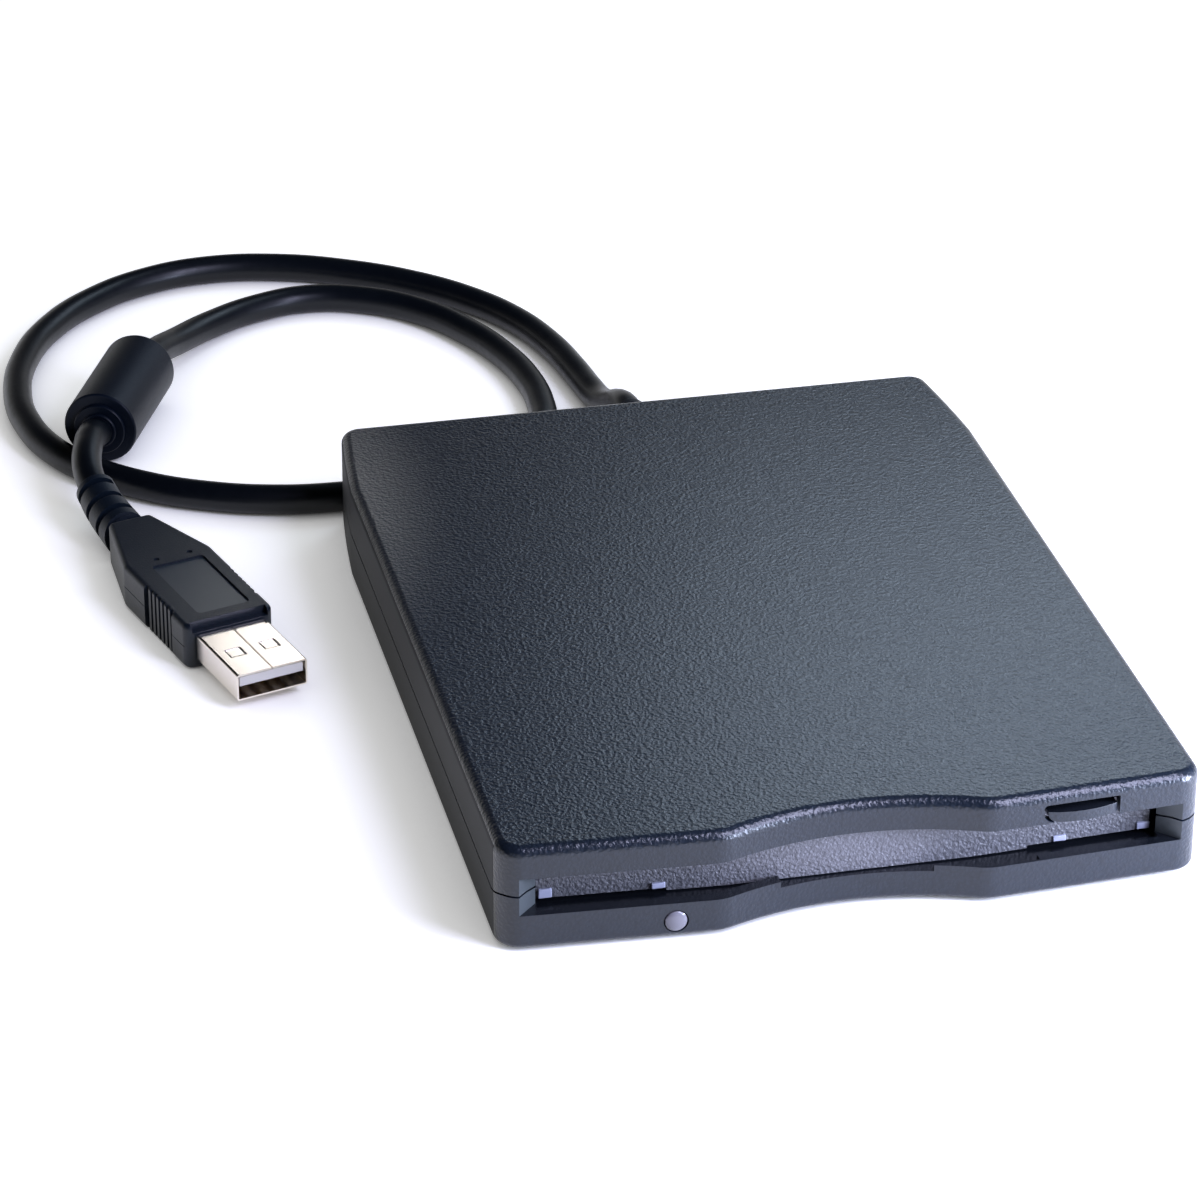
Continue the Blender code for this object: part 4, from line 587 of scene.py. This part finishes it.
lens_radius, lens_length, dome_height, dome_angle = 1.6, 4.0, 0.45, 1.2
lens_face = wing(lamp_x) - dome_height
dome = [(lens_radius * math.sin(a) / math.sin(dome_angle),
         lens_length - dome_height * (1 - math.cos(a)) / (1 - math.cos(dome_angle)))
        for a in (dome_angle * i / 10 for i in range(11))]
lamp = turned("lamp_lens_moulding", [*dome, (lens_radius, 0.3), (lens_radius - 0.3, 0), (0, 0)],
              facing((lamp_x, lens_face + lens_length, lamp_z), (0, -1, 0)))
shade(lamp, 30)
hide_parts("lamp_lens")
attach(lamp, "case")
print("button bulges", bulge, "mm, lens dome", dome_height, "mm")

# %% [markdown]
# The bead is a ferrite ring in a moulded shell. It keeps radio noise off the cord. It and the
# sleeve at the rear of the case are round pieces, so their half outlines are turned about the
# cord's own line, as on a lathe.

# %% Bead, cable gland and feet
bead_far, bead_near = Vector((-75.6, 191.2, 6.35)), Vector((-86.4, 166.5, 6.35))
bead_length = (bead_near - bead_far).length
bead_radius, bead_round, bead_shoulder = 6.3, 0.4, 1.2
half_profile = [(2.45, 0), (2.9, 0), (3.05, 0.15), (3.05, 0.5), (4.3, 0.5), (4.45, 0.65),
                (4.45, bead_shoulder)]
half_profile += [(bead_radius - bead_round * (1 - math.sin(a)),
                  bead_shoulder + bead_round * (1 - math.cos(a)))
                 for a in (math.pi / 2 * i / 6 for i in range(7))]
profile = [(r, bead_length - h) for r, h in half_profile] + half_profile[::-1]
bead = turned("ferrite_bead_shell", profile + profile[:1], facing(bead_far, bead_near - bead_far))
shade(bead)
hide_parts("ferrite_bead")
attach(bead, "case")

rib_pitch, rib_growth = 2.2, 0.2
sleeve = [(2.45, 11.0), (2.9, 11.0), (3.1, 10.8)]
for i in range(4):
    low = 9.4 - rib_pitch * i
    wide = 3.15 + rib_growth * i
    sleeve += [(wide, low + 0.5), (wide, low), (wide - 0.45, low - 0.2), (wide - 0.45, low - 0.8),
               (wide + 0.08, low - 1.0)]
sleeve += [(4.0, 0.0), (3.4, 0.0), (3.4, -2.4), (4.6, -2.4), (4.6, -4.0), (2.45, -4.0), (2.45, 11.0)]
gland = turned("cable_gland_sleeve", sleeve, facing((cord_exit_x, depth + 0.3, cord_exit_z), (0, 1, 0)))
shade(gland)
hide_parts("cable_gland")
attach(gland, "case")
feet_names = ("front_left", "front_right", "rear_left", "rear_right")
foot_profile = [(0, 0), (3.7, 0), (4.05, 0.12), (4.2, 0.45), (4.2, 0.8), (0, 0.8)]
for side, place in zip(feet_names, feet_places):
    foot = turned("foot_pad_" + side, foot_profile, drawing @ Matrix.Translation((*place, 0)))
    shade(foot)
    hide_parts("foot_" + side)
    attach(foot, "case")
print("bead length:", round(bead_length, 1), "mm")

# %% [markdown]
# The boot is the soft part that keeps the cord from kinking where it enters the plug. Slots
# cut from one side and then the other let it bend like a spring. A round bar is swept along
# the cord's line, growing a little towards the plug, and each slot is one thin block.

# %% Boot
plug_place = drawing @ Matrix.Translation((-71.1, 78.8, 3.95)) @ Matrix.Rotation(math.radians(16), 4, "Z")
to_plug = drawing.inverted() @ plug_place
boot_route = [Vector(p) for p in ((-89.7, 144.9, 6.2), (-88.5, 139.3, 5.0))]
boot_route += [to_plug @ Vector((0, y, 0)) for y in (56.0, 54.4)]


def smooth_line(route, count):
    """Points evenly spaced on the smooth curve through a route."""
    knots = [2 * route[0] - route[1], *route, 2 * route[-1] - route[-2]]
    fine = []
    for a, b, c, d in zip(knots, knots[1:], knots[2:], knots[3:]):
        for t in (i / 40 for i in range(40)):
            fine.append((2 * b + (c - a) * t + (2 * a - 5 * b + 4 * c - d) * t**2
                         + (3 * b - a - 3 * c + d) * t**3) / 2)
    fine.append(route[-1])
    run = [0.0]
    for a, b in zip(fine, fine[1:]):
        run.append(run[-1] + (b - a).length)
    line, i = [], 0
    for k in range(count):
        at = run[-1] * k / (count - 1)
        while i < len(run) - 2 and run[i + 1] < at:
            i += 1
        line.append(fine[i].lerp(fine[i + 1], (at - run[i]) / (run[i + 1] - run[i])))
    return line


def swept(name, line, radii, where=drawing, sides=48):
    """A round bar along a line, with its own radius at each point."""
    work = bmesh.new()
    rings, across = [], Vector((0, 0, 1))
    for i, (place, radius) in enumerate(zip(line, radii)):
        heading = (line[min(i + 1, len(line) - 1)] - line[max(i - 1, 0)]).normalized()
        side = heading.cross(across).normalized()
        up = side.cross(heading)
        rings.append([work.verts.new(place + radius * (side * math.cos(t) + up * math.sin(t)))
                      for t in (2 * math.pi * k / sides for k in range(sides))])
    for low, high in zip(rings, rings[1:]):
        for k in range(sides):
            j = (k + 1) % sides
            work.faces.new((low[k], low[j], high[j], high[k]))
    work.faces.new(rings[0])
    work.faces.new(rings[-1][::-1])
    return place_mesh(name, work, where)


boot_steps, boot_slots, slot_half, web_half, past_boot = 48, 7, 0.65, 0.3, 8
cord_end_radius, boot_growth, slot_tilt = 3.3, 0.55, math.radians(50)
first_slot_share, slot_pitch_share = 0.117, 0.1414
line = smooth_line(boot_route, boot_steps + 1)
boot = swept("plug_boot_moulding", line,
             [cord_end_radius + boot_growth * i / boot_steps for i in range(boot_steps + 1)])
for k in range(boot_slots):
    at = (first_slot_share + slot_pitch_share * k) * boot_steps
    place = line[int(at)].lerp(line[int(at) + 1], at % 1)
    heading = (line[int(at) + 1] - line[int(at)]).normalized()
    sideways = heading.cross(Vector((0, 0, 1))).normalized() * (-1) ** k
    up = sideways.cross(heading)
    away = sideways * math.cos(slot_tilt) + up * math.sin(slot_tilt)
    slot_turn = Matrix((away.cross(heading), away, heading)).transposed().to_4x4()
    cut(boot, block((-past_boot, web_half, -slot_half), (past_boot, past_boot, slot_half),
                    drawing @ Matrix.Translation(place) @ slot_turn))
soften(boot, 0.1)
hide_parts("plug_boot")
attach(boot, "case")
print("boot slots:", boot_slots)

# %% [markdown]
# The plug's body is moulded over the connector in two halves, so a fine parting line runs
# round its sides. A shallow panel on top and ribbed grips on both sides are cut into it, and a
# step at the front shows where the metal shell goes in.

# %% Plug body
half, rear_half, front, shoulder, end = 7.6, 3.7, 15.1, 39.1, 54.1
plan = rounded([(-half, front, 1.6), (half, front, 1.6), (half, shoulder, 3.0), (rear_half, end, 0),
                (-rear_half, end, 0), (-half, shoulder, 3.0)], 5)
half_height, past_plug = 3.85, 9
body = upright("plug_body_moulding", plan, -half_height, half_height, plug_place)
step = body.modifiers.new("rim", "BEVEL")
step.width, step.segments, step.limit_method, step.angle_limit = 0.9 * mm, 5, "ANGLE", math.radians(60)
step.use_clamp_overlap = False
settle(body)
grip_start, grip_ribs, pitch, rib_half = front + 5.6, 6, 1.5, 0.4
grip_x, rib_x, parting_x, parting_half = 6.9, 7.3, 7.45, 0.06
for side in (-1, 1):
    near, far, rib = side * grip_x, side * past_plug, side * rib_x
    edge = [(far, grip_start), (near, grip_start)]
    for k in range(1, grip_ribs + 1):
        low = grip_start + pitch * k - rib_half
        edge += [(near, low), (rib, low), (rib, low + 2 * rib_half), (near, low + 2 * rib_half)]
    grip_end = grip_start + pitch * (grip_ribs + 1)
    edge += [(near, grip_end), (far, grip_end)]
    cut(body, upright("grip", edge if side > 0 else edge[::-1], -past_plug, past_plug, plug_place))
    cut(body, side_block(side, (parting_x, past_plug), (front - 1, shoulder),
                         (-parting_half, parting_half), plug_place))
step_half, step_floor, step_depth = 6.5, 2.55, 1.3
cut(body, block((-step_half, front - 1, step_floor), (step_half, front + step_depth, past_plug), plug_place))
panel_low, panel_high, panel_floor = (-3.9, 18.5), (5.1, 36.5), 3.5
panel = rounded_rectangle(panel_low, panel_high, 0.8, 5)
cut(body, upright("panel", panel, panel_floor, past_plug, plug_place))
dot_radius, dot_y = 0.5, 38.4
for x in (-2.1, 3.6):
    cut(body, peg(dot_radius, (x, dot_y, panel_floor), (x, dot_y, past_plug), plug_place, 24))
soften(body, 0.1)
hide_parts("plug_body")
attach(body, "case")
print("plug body:", 2 * half, "x", end - front, "mm")

# %% [markdown]
# The plug's shell is one strip of nickel-plated steel folded into a box, so its two ends meet
# in a seam along the middle of the top. Two windows in the top take the springs of the socket,
# and a small leaf of the same steel fills most of each. Inside, a white tongue carries the four
# gilded contacts.

# %% Plug shell, tongue and contacts
shell_half, shell_half_height, sheet_thick, shell_length = 6, 2.25, 0.3, 14.8
bore_half, bore_half_height = shell_half - sheet_thick, shell_half_height - sheet_thick
section = rounded_rectangle((-shell_half, -shell_half_height), (shell_half, shell_half_height), 0.45, 4)
bore = rounded_rectangle((-bore_half, -bore_half_height), (bore_half, bore_half_height), 0.2, 3)
shell = solid("plug_shell_steel", [(x, 0, z) for x, z in section], (0, shell_length, 0), plug_place)
cut(shell, solid("bore", [(x, -1, z) for x, z in bore], (0, 15.5, 0), plug_place))
window_x, window_half, window_front, window_rear = 2.9, 1.4, 5.6, 8.3
leaf_half, leaf_top, seam_half = 1.1, 2.12, 0.12
for x in (-window_x, window_x):
    window = rounded_rectangle((x - window_half, window_front), (x + window_half, window_rear), 0.2, 3)
    cut(shell, upright("window", window, 1.5, 4, plug_place))
    join(shell, block((x - leaf_half, 5.95, 1.9), (x + leaf_half, 8.5, leaf_top), plug_place))
cut(shell, block((-seam_half, -1, 2.0), (seam_half, 16, 4), plug_place))
soften(shell, 0.05)
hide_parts("plug_shell")
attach(shell, "case")
tongue = block((-5.4, 0.3, 0.05), (5.4, 14.2, 1.65), plug_place)
tongue.name = "plug_tongue_moulding"
soften(tongue, 0.1)
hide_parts("plug_tongue")
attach(tongue, "case")
print("shell opening:", 2 * bore_half, "x", 2 * bore_half_height, "mm")

# %% [markdown]
# Every finish below is made of nodes. One function adds a node, sets its options and its
# inputs, and links whatever is passed as a socket. A second turns a colour as a painter reads
# it, in sRGB hex, into the linear values that light needs. Points are read in millimetres, so
# that each pattern's scale is a real size.

# %% Helpers for finishes
def linear(hex_colour, brighter=1.0):
    """An sRGB hex colour as linear values, with its opacity."""
    parts = [int(hex_colour[i:i + 2], 16) / 255 for i in (1, 3, 5)]
    return (*[brighter * (c / 12.92 if c <= 0.04045 else ((c + 0.055) / 1.055) ** 2.4) for c in parts], 1)


def add(tree, kind, inputs=None, **options):
    """Adds a node. Inputs are values or sockets, by name or number."""
    made = tree.nodes.new(kind)
    for name, value in options.items():
        setattr(made, name, value)
    for name, value in (inputs or {}).items():
        if isinstance(value, bpy.types.NodeSocket):
            tree.links.new(value, made.inputs[name])
        else:
            made.inputs[name].default_value = value
    return made


def new_finish(name, colour, **settings):
    """A material with one Principled shader, and its point in object millimetres."""
    made = bpy.data.materials.new(name)
    made.use_nodes = True
    tree = made.node_tree
    shader = tree.nodes["Principled BSDF"]
    shader.inputs["Base Color"].default_value = linear(colour)
    for socket, value in settings.items():
        shader.inputs[socket.replace("_", " ")].default_value = value
    place = add(tree, "ShaderNodeTexCoord")
    scaled = add(tree, "ShaderNodeVectorMath", {0: place.outputs["Object"], "Scale": 1000}, operation="SCALE")
    return made, tree, shader, scaled.outputs[0]


def paint(finish, *pieces):
    """Gives pieces, or CAD nodes by name, one finish."""
    for piece in pieces:
        item = frame["nodes"][piece] if isinstance(piece, str) else piece
        if not item.material_slots:
            item.data.materials.append(finish)
        for slot in item.material_slots:
            slot.material = finish


def paint_where(item, finish, chosen):
    """Gives a second finish to the faces whose centre, in drawing mm, and normal pass a test."""
    item.data.materials.append(finish)
    for face in item.data.polygons:
        if chosen(drawing.inverted() @ face.center, face.normal):
            face.material_index = len(item.data.materials) - 1


print("#808080 is", round(linear("#808080")[0], 3), "in linear light")

# %% [markdown]
# The shells are charcoal ABS, injection moulded. The mould was eroded by sparks, which prints
# an even grain on the plastic: soft wrinkles a little under 0.4 mm apart. To the eye that is a
# satin skin with countless small glints. Two layers of noise drive a bump: one for the wrinkles
# and a finer one, so that it doesn't look like a single pattern. The wrinkles are drawn a little
# coarser than the real ones, because finer ones are lost between the pixels. Three copies of the
# finish carry painted light and shade. A dull copy that reflects little is painted shade on the
# side walls and the button's hidden rear. A darker polished copy is painted shade inside the
# mouth and on the button's top. A paler satin copy is painted light on the ends of the mouth and
# a painted highlight on the button's upper edge. The flap has a deeper grain in a paler plastic.

# %% Moulded ABS
def moulded_abs(name, colour, roughness, spacing, height):
    """ABS with a spark-eroded grain: the spacing and the height of its wrinkles in mm."""
    made, tree, shader, point = new_finish(name, colour, Roughness=roughness, IOR=1.53)
    warp = add(tree, "ShaderNodeTexNoise", {"Vector": point, "Scale": 0.7 / spacing, "Detail": 1.0})
    bent = add(tree, "ShaderNodeVectorMath", {0: warp.outputs["Color"], 1: (spacing,) * 3, 2: point},
               operation="MULTIPLY_ADD")
    cells = add(tree, "ShaderNodeTexVoronoi", {"Vector": bent.outputs[0], "Scale": 0.8 / spacing,
                                               "Smoothness": 0.6}, feature="SMOOTH_F1")
    fine = add(tree, "ShaderNodeTexNoise", {"Vector": point, "Scale": 2 / spacing, "Detail": 2.0})
    relief = add(tree, "ShaderNodeMath", {0: fine.outputs[0], 1: 0.5, 2: cells.outputs[0]},
                 operation="MULTIPLY_ADD")
    bump = add(tree, "ShaderNodeBump", {"Height": relief.outputs[0], "Distance": height * mm})
    tone = add(tree, "ShaderNodeValToRGB", {"Fac": cells.outputs[0]})
    low, high = tone.color_ramp.elements
    low.position, high.position = 0.2, 0.8
    low.color, high.color = linear(colour, 1.15), linear(colour, 0.8)
    tree.links.new(tone.outputs[0], shader.inputs["Base Color"])
    tree.links.new(bump.outputs[0], shader.inputs["Normal"])
    return made


case_grain, flap_grain = 0.44, 0.4
case_abs = moulded_abs("charcoal_abs_spark_eroded", "#161e28", 0.28, case_grain, 0.068)
flap_abs = moulded_abs("grey_abs_coarse_grain", "#646469", 0.36, flap_grain, 0.16)
# A darker polished copy: painted shade inside the mouth and on the button's top.
polished_abs_painted_shade = new_finish("charcoal_abs_polished_painted_shade", "#12151a", Roughness=0.2, IOR=1.53)[0]
# A paler satin copy: painted light on the ends of the mouth, a painted highlight on the button's upper edge.
satin_abs_painted_light = new_finish("charcoal_abs_satin_painted_light", "#43494b", Roughness=0.4, IOR=1.53)[0]
# A dull copy that reflects little: painted shade on the side walls and the button's hidden rear.
dull_abs_painted_shade = new_finish("charcoal_abs_painted_shade_dull", "#1b1d20", Roughness=0.6, IOR=1.53, Specular_IOR_Level=0.2)[0]
tab_abs = new_finish("pale_abs_polished", "#b0b3c8", Roughness=0.3, IOR=1.53)[0]
paint(case_abs, upper, lower, button)
paint(flap_abs, flap)
paint(tab_abs, *tabs)


def in_mouth(centre, normal):
    return (abs(centre.x) < half_mouth + 0.05 and wing(centre.x) + 0.25 < centre.y < throat_rear + 1
            and mouth_low - 1.1 < centre.z < mouth_high + 0.1)


def on_mouth_end(centre, normal):
    return in_mouth(centre, normal) and half_throat - 0.1 < abs(centre.x) and abs(normal.x) > 0.3


def on_side_wall(centre, normal):
    return abs(normal.x) > 0.9 and abs(centre.x) > 49.3 and centre.y > 3


# Painted shade on the side walls and inside the mouth, painted light on the ends of the mouth.
for shell_piece in (upper, lower):
    paint_where(shell_piece, dull_abs_painted_shade, on_side_wall)
    paint_where(shell_piece, polished_abs_painted_shade, in_mouth)
    paint_where(shell_piece, satin_abs_painted_light, on_mouth_end)
# Painted shade on the button's hidden rear and its top, a painted highlight on its upper edge.
shown = 1.85
paint_where(button, dull_abs_painted_shade, lambda centre, normal: centre.y > shown)
paint_where(button, polished_abs_painted_shade, lambda centre, normal: centre.y < shown and normal.z > 0.97)
paint_where(button, satin_abs_painted_light, lambda centre, normal: centre.y < shown and 0.3 < normal.z < 0.97)
print("case grain", case_grain, "mm, flap grain", flap_grain, "mm")

# %% [markdown]
# The cord's jacket is black PVC, extruded, so it is smooth with a soft gloss and faint ripples
# along its length. The bead, boot and plug body are PVC too, but moulded: the boot and the body
# have a fine matt grain, the bead a satin skin. The panel on the plug is polished, and its paler
# colour is a painted sheen. The feet are plain black rubber.

# %% Black PVC and rubber
def soft_pvc(name, colour, roughness, grain, height, gloss=0.5):
    """Soft plastic or rubber with a faint uneven skin: grain and height in mm."""
    made, tree, shader, point = new_finish(name, colour, Roughness=roughness, IOR=1.52,
                                           Specular_IOR_Level=gloss)
    skin = add(tree, "ShaderNodeTexNoise", {"Vector": point, "Scale": 1 / grain, "Detail": 3.0})
    bump = add(tree, "ShaderNodeBump", {"Height": skin.outputs[0], "Distance": height * mm})
    worn = add(tree, "ShaderNodeMapRange", {"Value": skin.outputs[0], "To Min": roughness - 0.06,
                                            "To Max": roughness + 0.08})
    tree.links.new(worn.outputs[0], shader.inputs["Roughness"])
    tree.links.new(bump.outputs[0], shader.inputs["Normal"])
    return made


jacket_pvc = soft_pvc("black_pvc_extruded", "#070c13", 0.36, 1.4, 0.015, 0.28)
moulded_pvc = soft_pvc("black_pvc_moulded", "#0c1824", 0.45, 0.3, 0.03, 0.4)
bead_pvc = soft_pvc("black_pvc_satin", "#0a121d", 0.42, 0.3, 0.02, 0.14)
# Polished, with a paler colour that is a painted sheen.
polished_pvc_painted_sheen = new_finish("black_pvc_polished_painted_sheen", "#1f2c36", Roughness=0.38, IOR=1.52)[0]
foot_rubber = soft_pvc("black_rubber_pad", "#101012", 0.75, 0.5, 0.03)
paint(jacket_pvc, cord, "inner_lead")
paint(moulded_pvc, boot, body)
paint(bead_pvc, bead, gland)
paint(foot_rubber, *[bpy.data.objects["foot_pad_" + side] for side in feet_names])
from_plug = plug_place.inverted()


def on_panel(centre, normal):
    at = from_plug @ (drawing @ centre)
    return (panel_low[0] + 0.1 < at.x < panel_high[0] - 0.1 and abs(at.z - panel_floor) < 0.1
            and panel_low[1] + 0.2 < at.y < panel_high[1] - 0.2)


# The panel's faces get the polished finish with its painted sheen.
paint_where(body, polished_pvc_painted_sheen, on_panel)
print("PVC finishes: 4")

# %% [markdown]
# The plug's shell is sheet steel with a bright nickel plating, drawn and folded, so it has the
# faintest lengthwise lines. The contacts are copper with hard gold. Stainless, zinc-plated and
# ground steels inside differ only in how they were made: pressed sheet has a soft, cloudy
# plating, and ground rods have fine rings round them.

# %% Metals
def worked_metal(name, colour, roughness, grain, height):
    """Metal with a worked skin: grain gives the spacing of its marks along x, y and z in mm."""
    made, tree, shader, point = new_finish(name, colour, Metallic=1.0)
    along = add(tree, "ShaderNodeVectorMath", {0: point, 1: [1 / g for g in grain]}, operation="MULTIPLY")
    marks = add(tree, "ShaderNodeTexNoise", {"Vector": along.outputs[0], "Scale": 1.0, "Detail": 3.0})
    gloss = add(tree, "ShaderNodeMapRange", {"Value": marks.outputs[0], "To Min": roughness * 0.9,
                                             "To Max": roughness * 1.1})
    bump = add(tree, "ShaderNodeBump", {"Height": marks.outputs[0], "Distance": height * mm})
    tree.links.new(gloss.outputs[0], shader.inputs["Roughness"])
    tree.links.new(bump.outputs[0], shader.inputs["Normal"])
    return made


nickel = worked_metal("nickel_plated_steel", "#e8e0d8", 0.24, (0.5, 6, 0.5), 0.0006)
gold = worked_metal("gold_plated_copper", "#e0b458", 0.25, (0.4, 4, 0.4), 0.002)
sheet = worked_metal("zinc_plated_sheet_steel", "#b9bcc0", 0.38, (6, 6, 6), 0.01)
ground = worked_metal("ground_stainless_steel", "#c4c5c6", 0.2, (3, 0.3, 3), 0.003)
wire = worked_metal("spring_steel_wire", "#9a9a9c", 0.3, (0.5, 2, 0.5), 0.003)
copper = worked_metal("enamelled_copper_wire", "#b8663a", 0.3, (0.3, 0.3, 2), 0.03)
bronze = worked_metal("sintered_bronze", "#a9854d", 0.45, (0.3, 0.3, 0.3), 0.01)
paint(nickel, shell)
paint(gold, *[f"plug_contact_{n}" for n in range(1, 5)])
paint(sheet, "chassis_frame", "top_cover", "disk_holder", "cam_plate", "upper_head_arm")
paint(sheet, "stepper_motor", "rotor", *["case_screw_" + side for side in feet_names])
paint(ground, "guide_rod_left", "guide_rod_right", "spindle_shaft", "lever_pin", "drive_pin", "lead_screw")
paint(wire, "door_spring", "eject_spring", "shutter_lever")
paint(copper, "stator")
paint(bronze, "bearing")
print("metals: 7")

# %% [markdown]
# The lamp's lens is milky polycarbonate, moulded with a polished dome. Inside the drive are the
# usual parts of electronics: green solder mask over glass fibre, black epoxy chips with a matt
# skin, white acetal sliders, and a dark ferrite magnet.

# %% Lens, boards and inner plastics
lens_pc = new_finish("milky_polycarbonate", "#7b7980", Roughness=0.16, IOR=1.58, Subsurface_Weight=0.3,
                     Subsurface_Radius=(0.002, 0.002, 0.002), Subsurface_Scale=0.5)[0]
tongue_pbt = soft_pvc("pale_pbt_moulded", "#f0eee2", 0.4, 0.5, 0.004)
solder_mask = soft_pvc("green_solder_mask", "#14532f", 0.3, 0.8, 0.01)
epoxy = soft_pvc("black_epoxy_moulded", "#17181a", 0.55, 0.2, 0.02)
acetal = soft_pvc("white_acetal_moulded", "#dcdcd6", 0.4, 0.6, 0.005)
ferrite = soft_pvc("dark_ferrite_magnet", "#2a2827", 0.6, 0.3, 0.02)
paint(lens_pc, lamp)
paint(tongue_pbt, tongue)
paint(solder_mask, "lamp_board", "motor_board", "main_board", "usb_board")
paint(epoxy, "main_chip", "usb_chip", "protect_switch", "density_switch", "lower_head", "upper_head")
paint(acetal, "protect_plunger", "density_plunger", "head_carriage", "board_connector")
paint(ferrite, "ring_magnet")
print("finishes in all:", len(bpy.data.materials))

# %% [markdown]
# The floor is a sheet of white paper whose far edge sweeps up, as in a photographer's studio, so
# that a low camera sees paper too. It takes the lamps' light and the drive's soft shadow. A
# little glow, seen by the camera and in reflections, brings it to white without more light on
# the drive. The glow is dimmer where the drive stands close, as bounced light would be, and it
# falls off with distance, as it does towards the edges of a studio.

# %% Floor
flat, bend = 2600, 400
sweep = [(0, 0), (flat, 0)] + [(flat + bend * math.sin(a), bend - bend * math.cos(a))
                               for a in (math.pi / 2 * i / 8 for i in range(1, 9))]
floor = turned("paper_floor", [*sweep, (flat + bend, 2 * bend)], drawing)
paper, tree, shader, point = new_finish("white_paper_floor", "#f4f3f0", Roughness=0.9)
ray = add(tree, "ShaderNodeLightPath")
rays = [ray.outputs[f"Is {kind} Ray"] for kind in ("Camera", "Glossy", "Transmission")]
seen = add(tree, "ShaderNodeMath", {0: rays[0], 1: rays[1]}, operation="ADD")
seen = add(tree, "ShaderNodeMath", {0: seen.outputs[0], 1: rays[2]}, operation="ADD")
open_sky = add(tree, "ShaderNodeAmbientOcclusion", {"Distance": 60 * mm}, samples=8)
level = add(tree, "ShaderNodeMath", {0: seen.outputs[0], 1: open_sky.outputs["AO"]}, operation="MULTIPLY")
distance = add(tree, "ShaderNodeVectorMath", {0: point}, operation="LENGTH")
fall_off = add(tree, "ShaderNodeMapRange", {"Value": distance.outputs["Value"], "From Min": 320.0,
                                            "From Max": 900.0, "To Min": 0.84, "To Max": 0.6})
level = add(tree, "ShaderNodeMath", {0: level.outputs[0], 1: fall_off.outputs[0]}, operation="MULTIPLY")
glow = add(tree, "ShaderNodeEmission", {"Strength": level.outputs[0]})
both = add(tree, "ShaderNodeAddShader", {0: shader.outputs[0], 1: glow.outputs[0]})
tree.links.new(both.outputs[0], tree.nodes["Material Output"].inputs["Surface"])
paint(paper, floor)
print("paper sweeps up to", 2 * bend * mm, "m")

# %% [markdown]
# Two softboxes at the rear right draw the sheen across the top. A tall one at the front right is
# the main light, and puts the bright line on the front's round edge. A low one lights the front
# and the flap, a small one beside it lights the front's right end, and a spot from behind stands
# in for a reflector card over the plug.

# %% Lamps
world = bpy.data.worlds.new("studio")
bpy.context.scene.world = world
world.use_nodes = True
world.node_tree.nodes["Background"].inputs["Color"].default_value = (1, 1, 1, 1)
world.node_tree.nodes["Background"].inputs["Strength"].default_value = 0.02
bpy.context.scene.view_settings.view_transform = "Standard"


def softbox(name, bearing, height, distance, size, aim, watts, colour):
    """A lamp placed by its bearing from the front, its height angle and its distance."""
    lamp_data = bpy.data.lights.new(name, "AREA")
    lamp_data.shape, lamp_data.size, lamp_data.size_y = "RECTANGLE", *size
    lamp_data.energy, lamp_data.color = watts, linear(colour)[:3]
    item = new_object(name, lamp_data)
    a, e = math.radians(bearing), math.radians(height)
    away = Vector((math.sin(a) * math.cos(e), -math.cos(a) * math.cos(e), math.sin(e)))
    item.location = Vector(aim) + away * distance
    item.rotation_euler = (-away).to_track_quat("-Z", "Y").to_euler()
    item.visible_camera = False
    return item


right_top = (0.045, -0.06, 0.017)
plug_top = plug_place @ Vector((0, shell_length / 2, shell_half_height))
softbox("rear_softbox", 165, 29, 0.4, (0.12, 0.08), (0.025, -0.08, 0.017), 0.15, "#d8ebff")
softbox("rear_side_softbox", 150, 24, 0.5, (0.15, 0.1), right_top, 0.16, "#dbecff")
softbox("key_softbox", 35, 49, 0.386, (0.12, 0.3), right_top, 2.3, "#dadcff")
softbox("low_front_softbox", 50, 12, 0.26, (0.1, 0.07), (0.03, -0.07, 0.008), 0.85, "#d0deff")
softbox("corner_softbox", 66, 14, 0.13, (0.04, 0.04), (0.047, -0.068, 0.008), 0.5, "#d8e0ff")
card = new_object("plug_reflector", bpy.data.lights.new("plug_reflector", "SPOT"))
card.data.energy, card.data.shadow_soft_size = 0.16, 0.02
card.data.spot_size, card.data.spot_blend = math.radians(9), 0.6
card.location = plug_top + 0.2 * Vector((0.199, 0.861, 0.469))
card.rotation_euler = (plug_top - card.location).to_track_quat("-Z", "Y").to_euler()
card.visible_camera = False
print("lamps: 6")
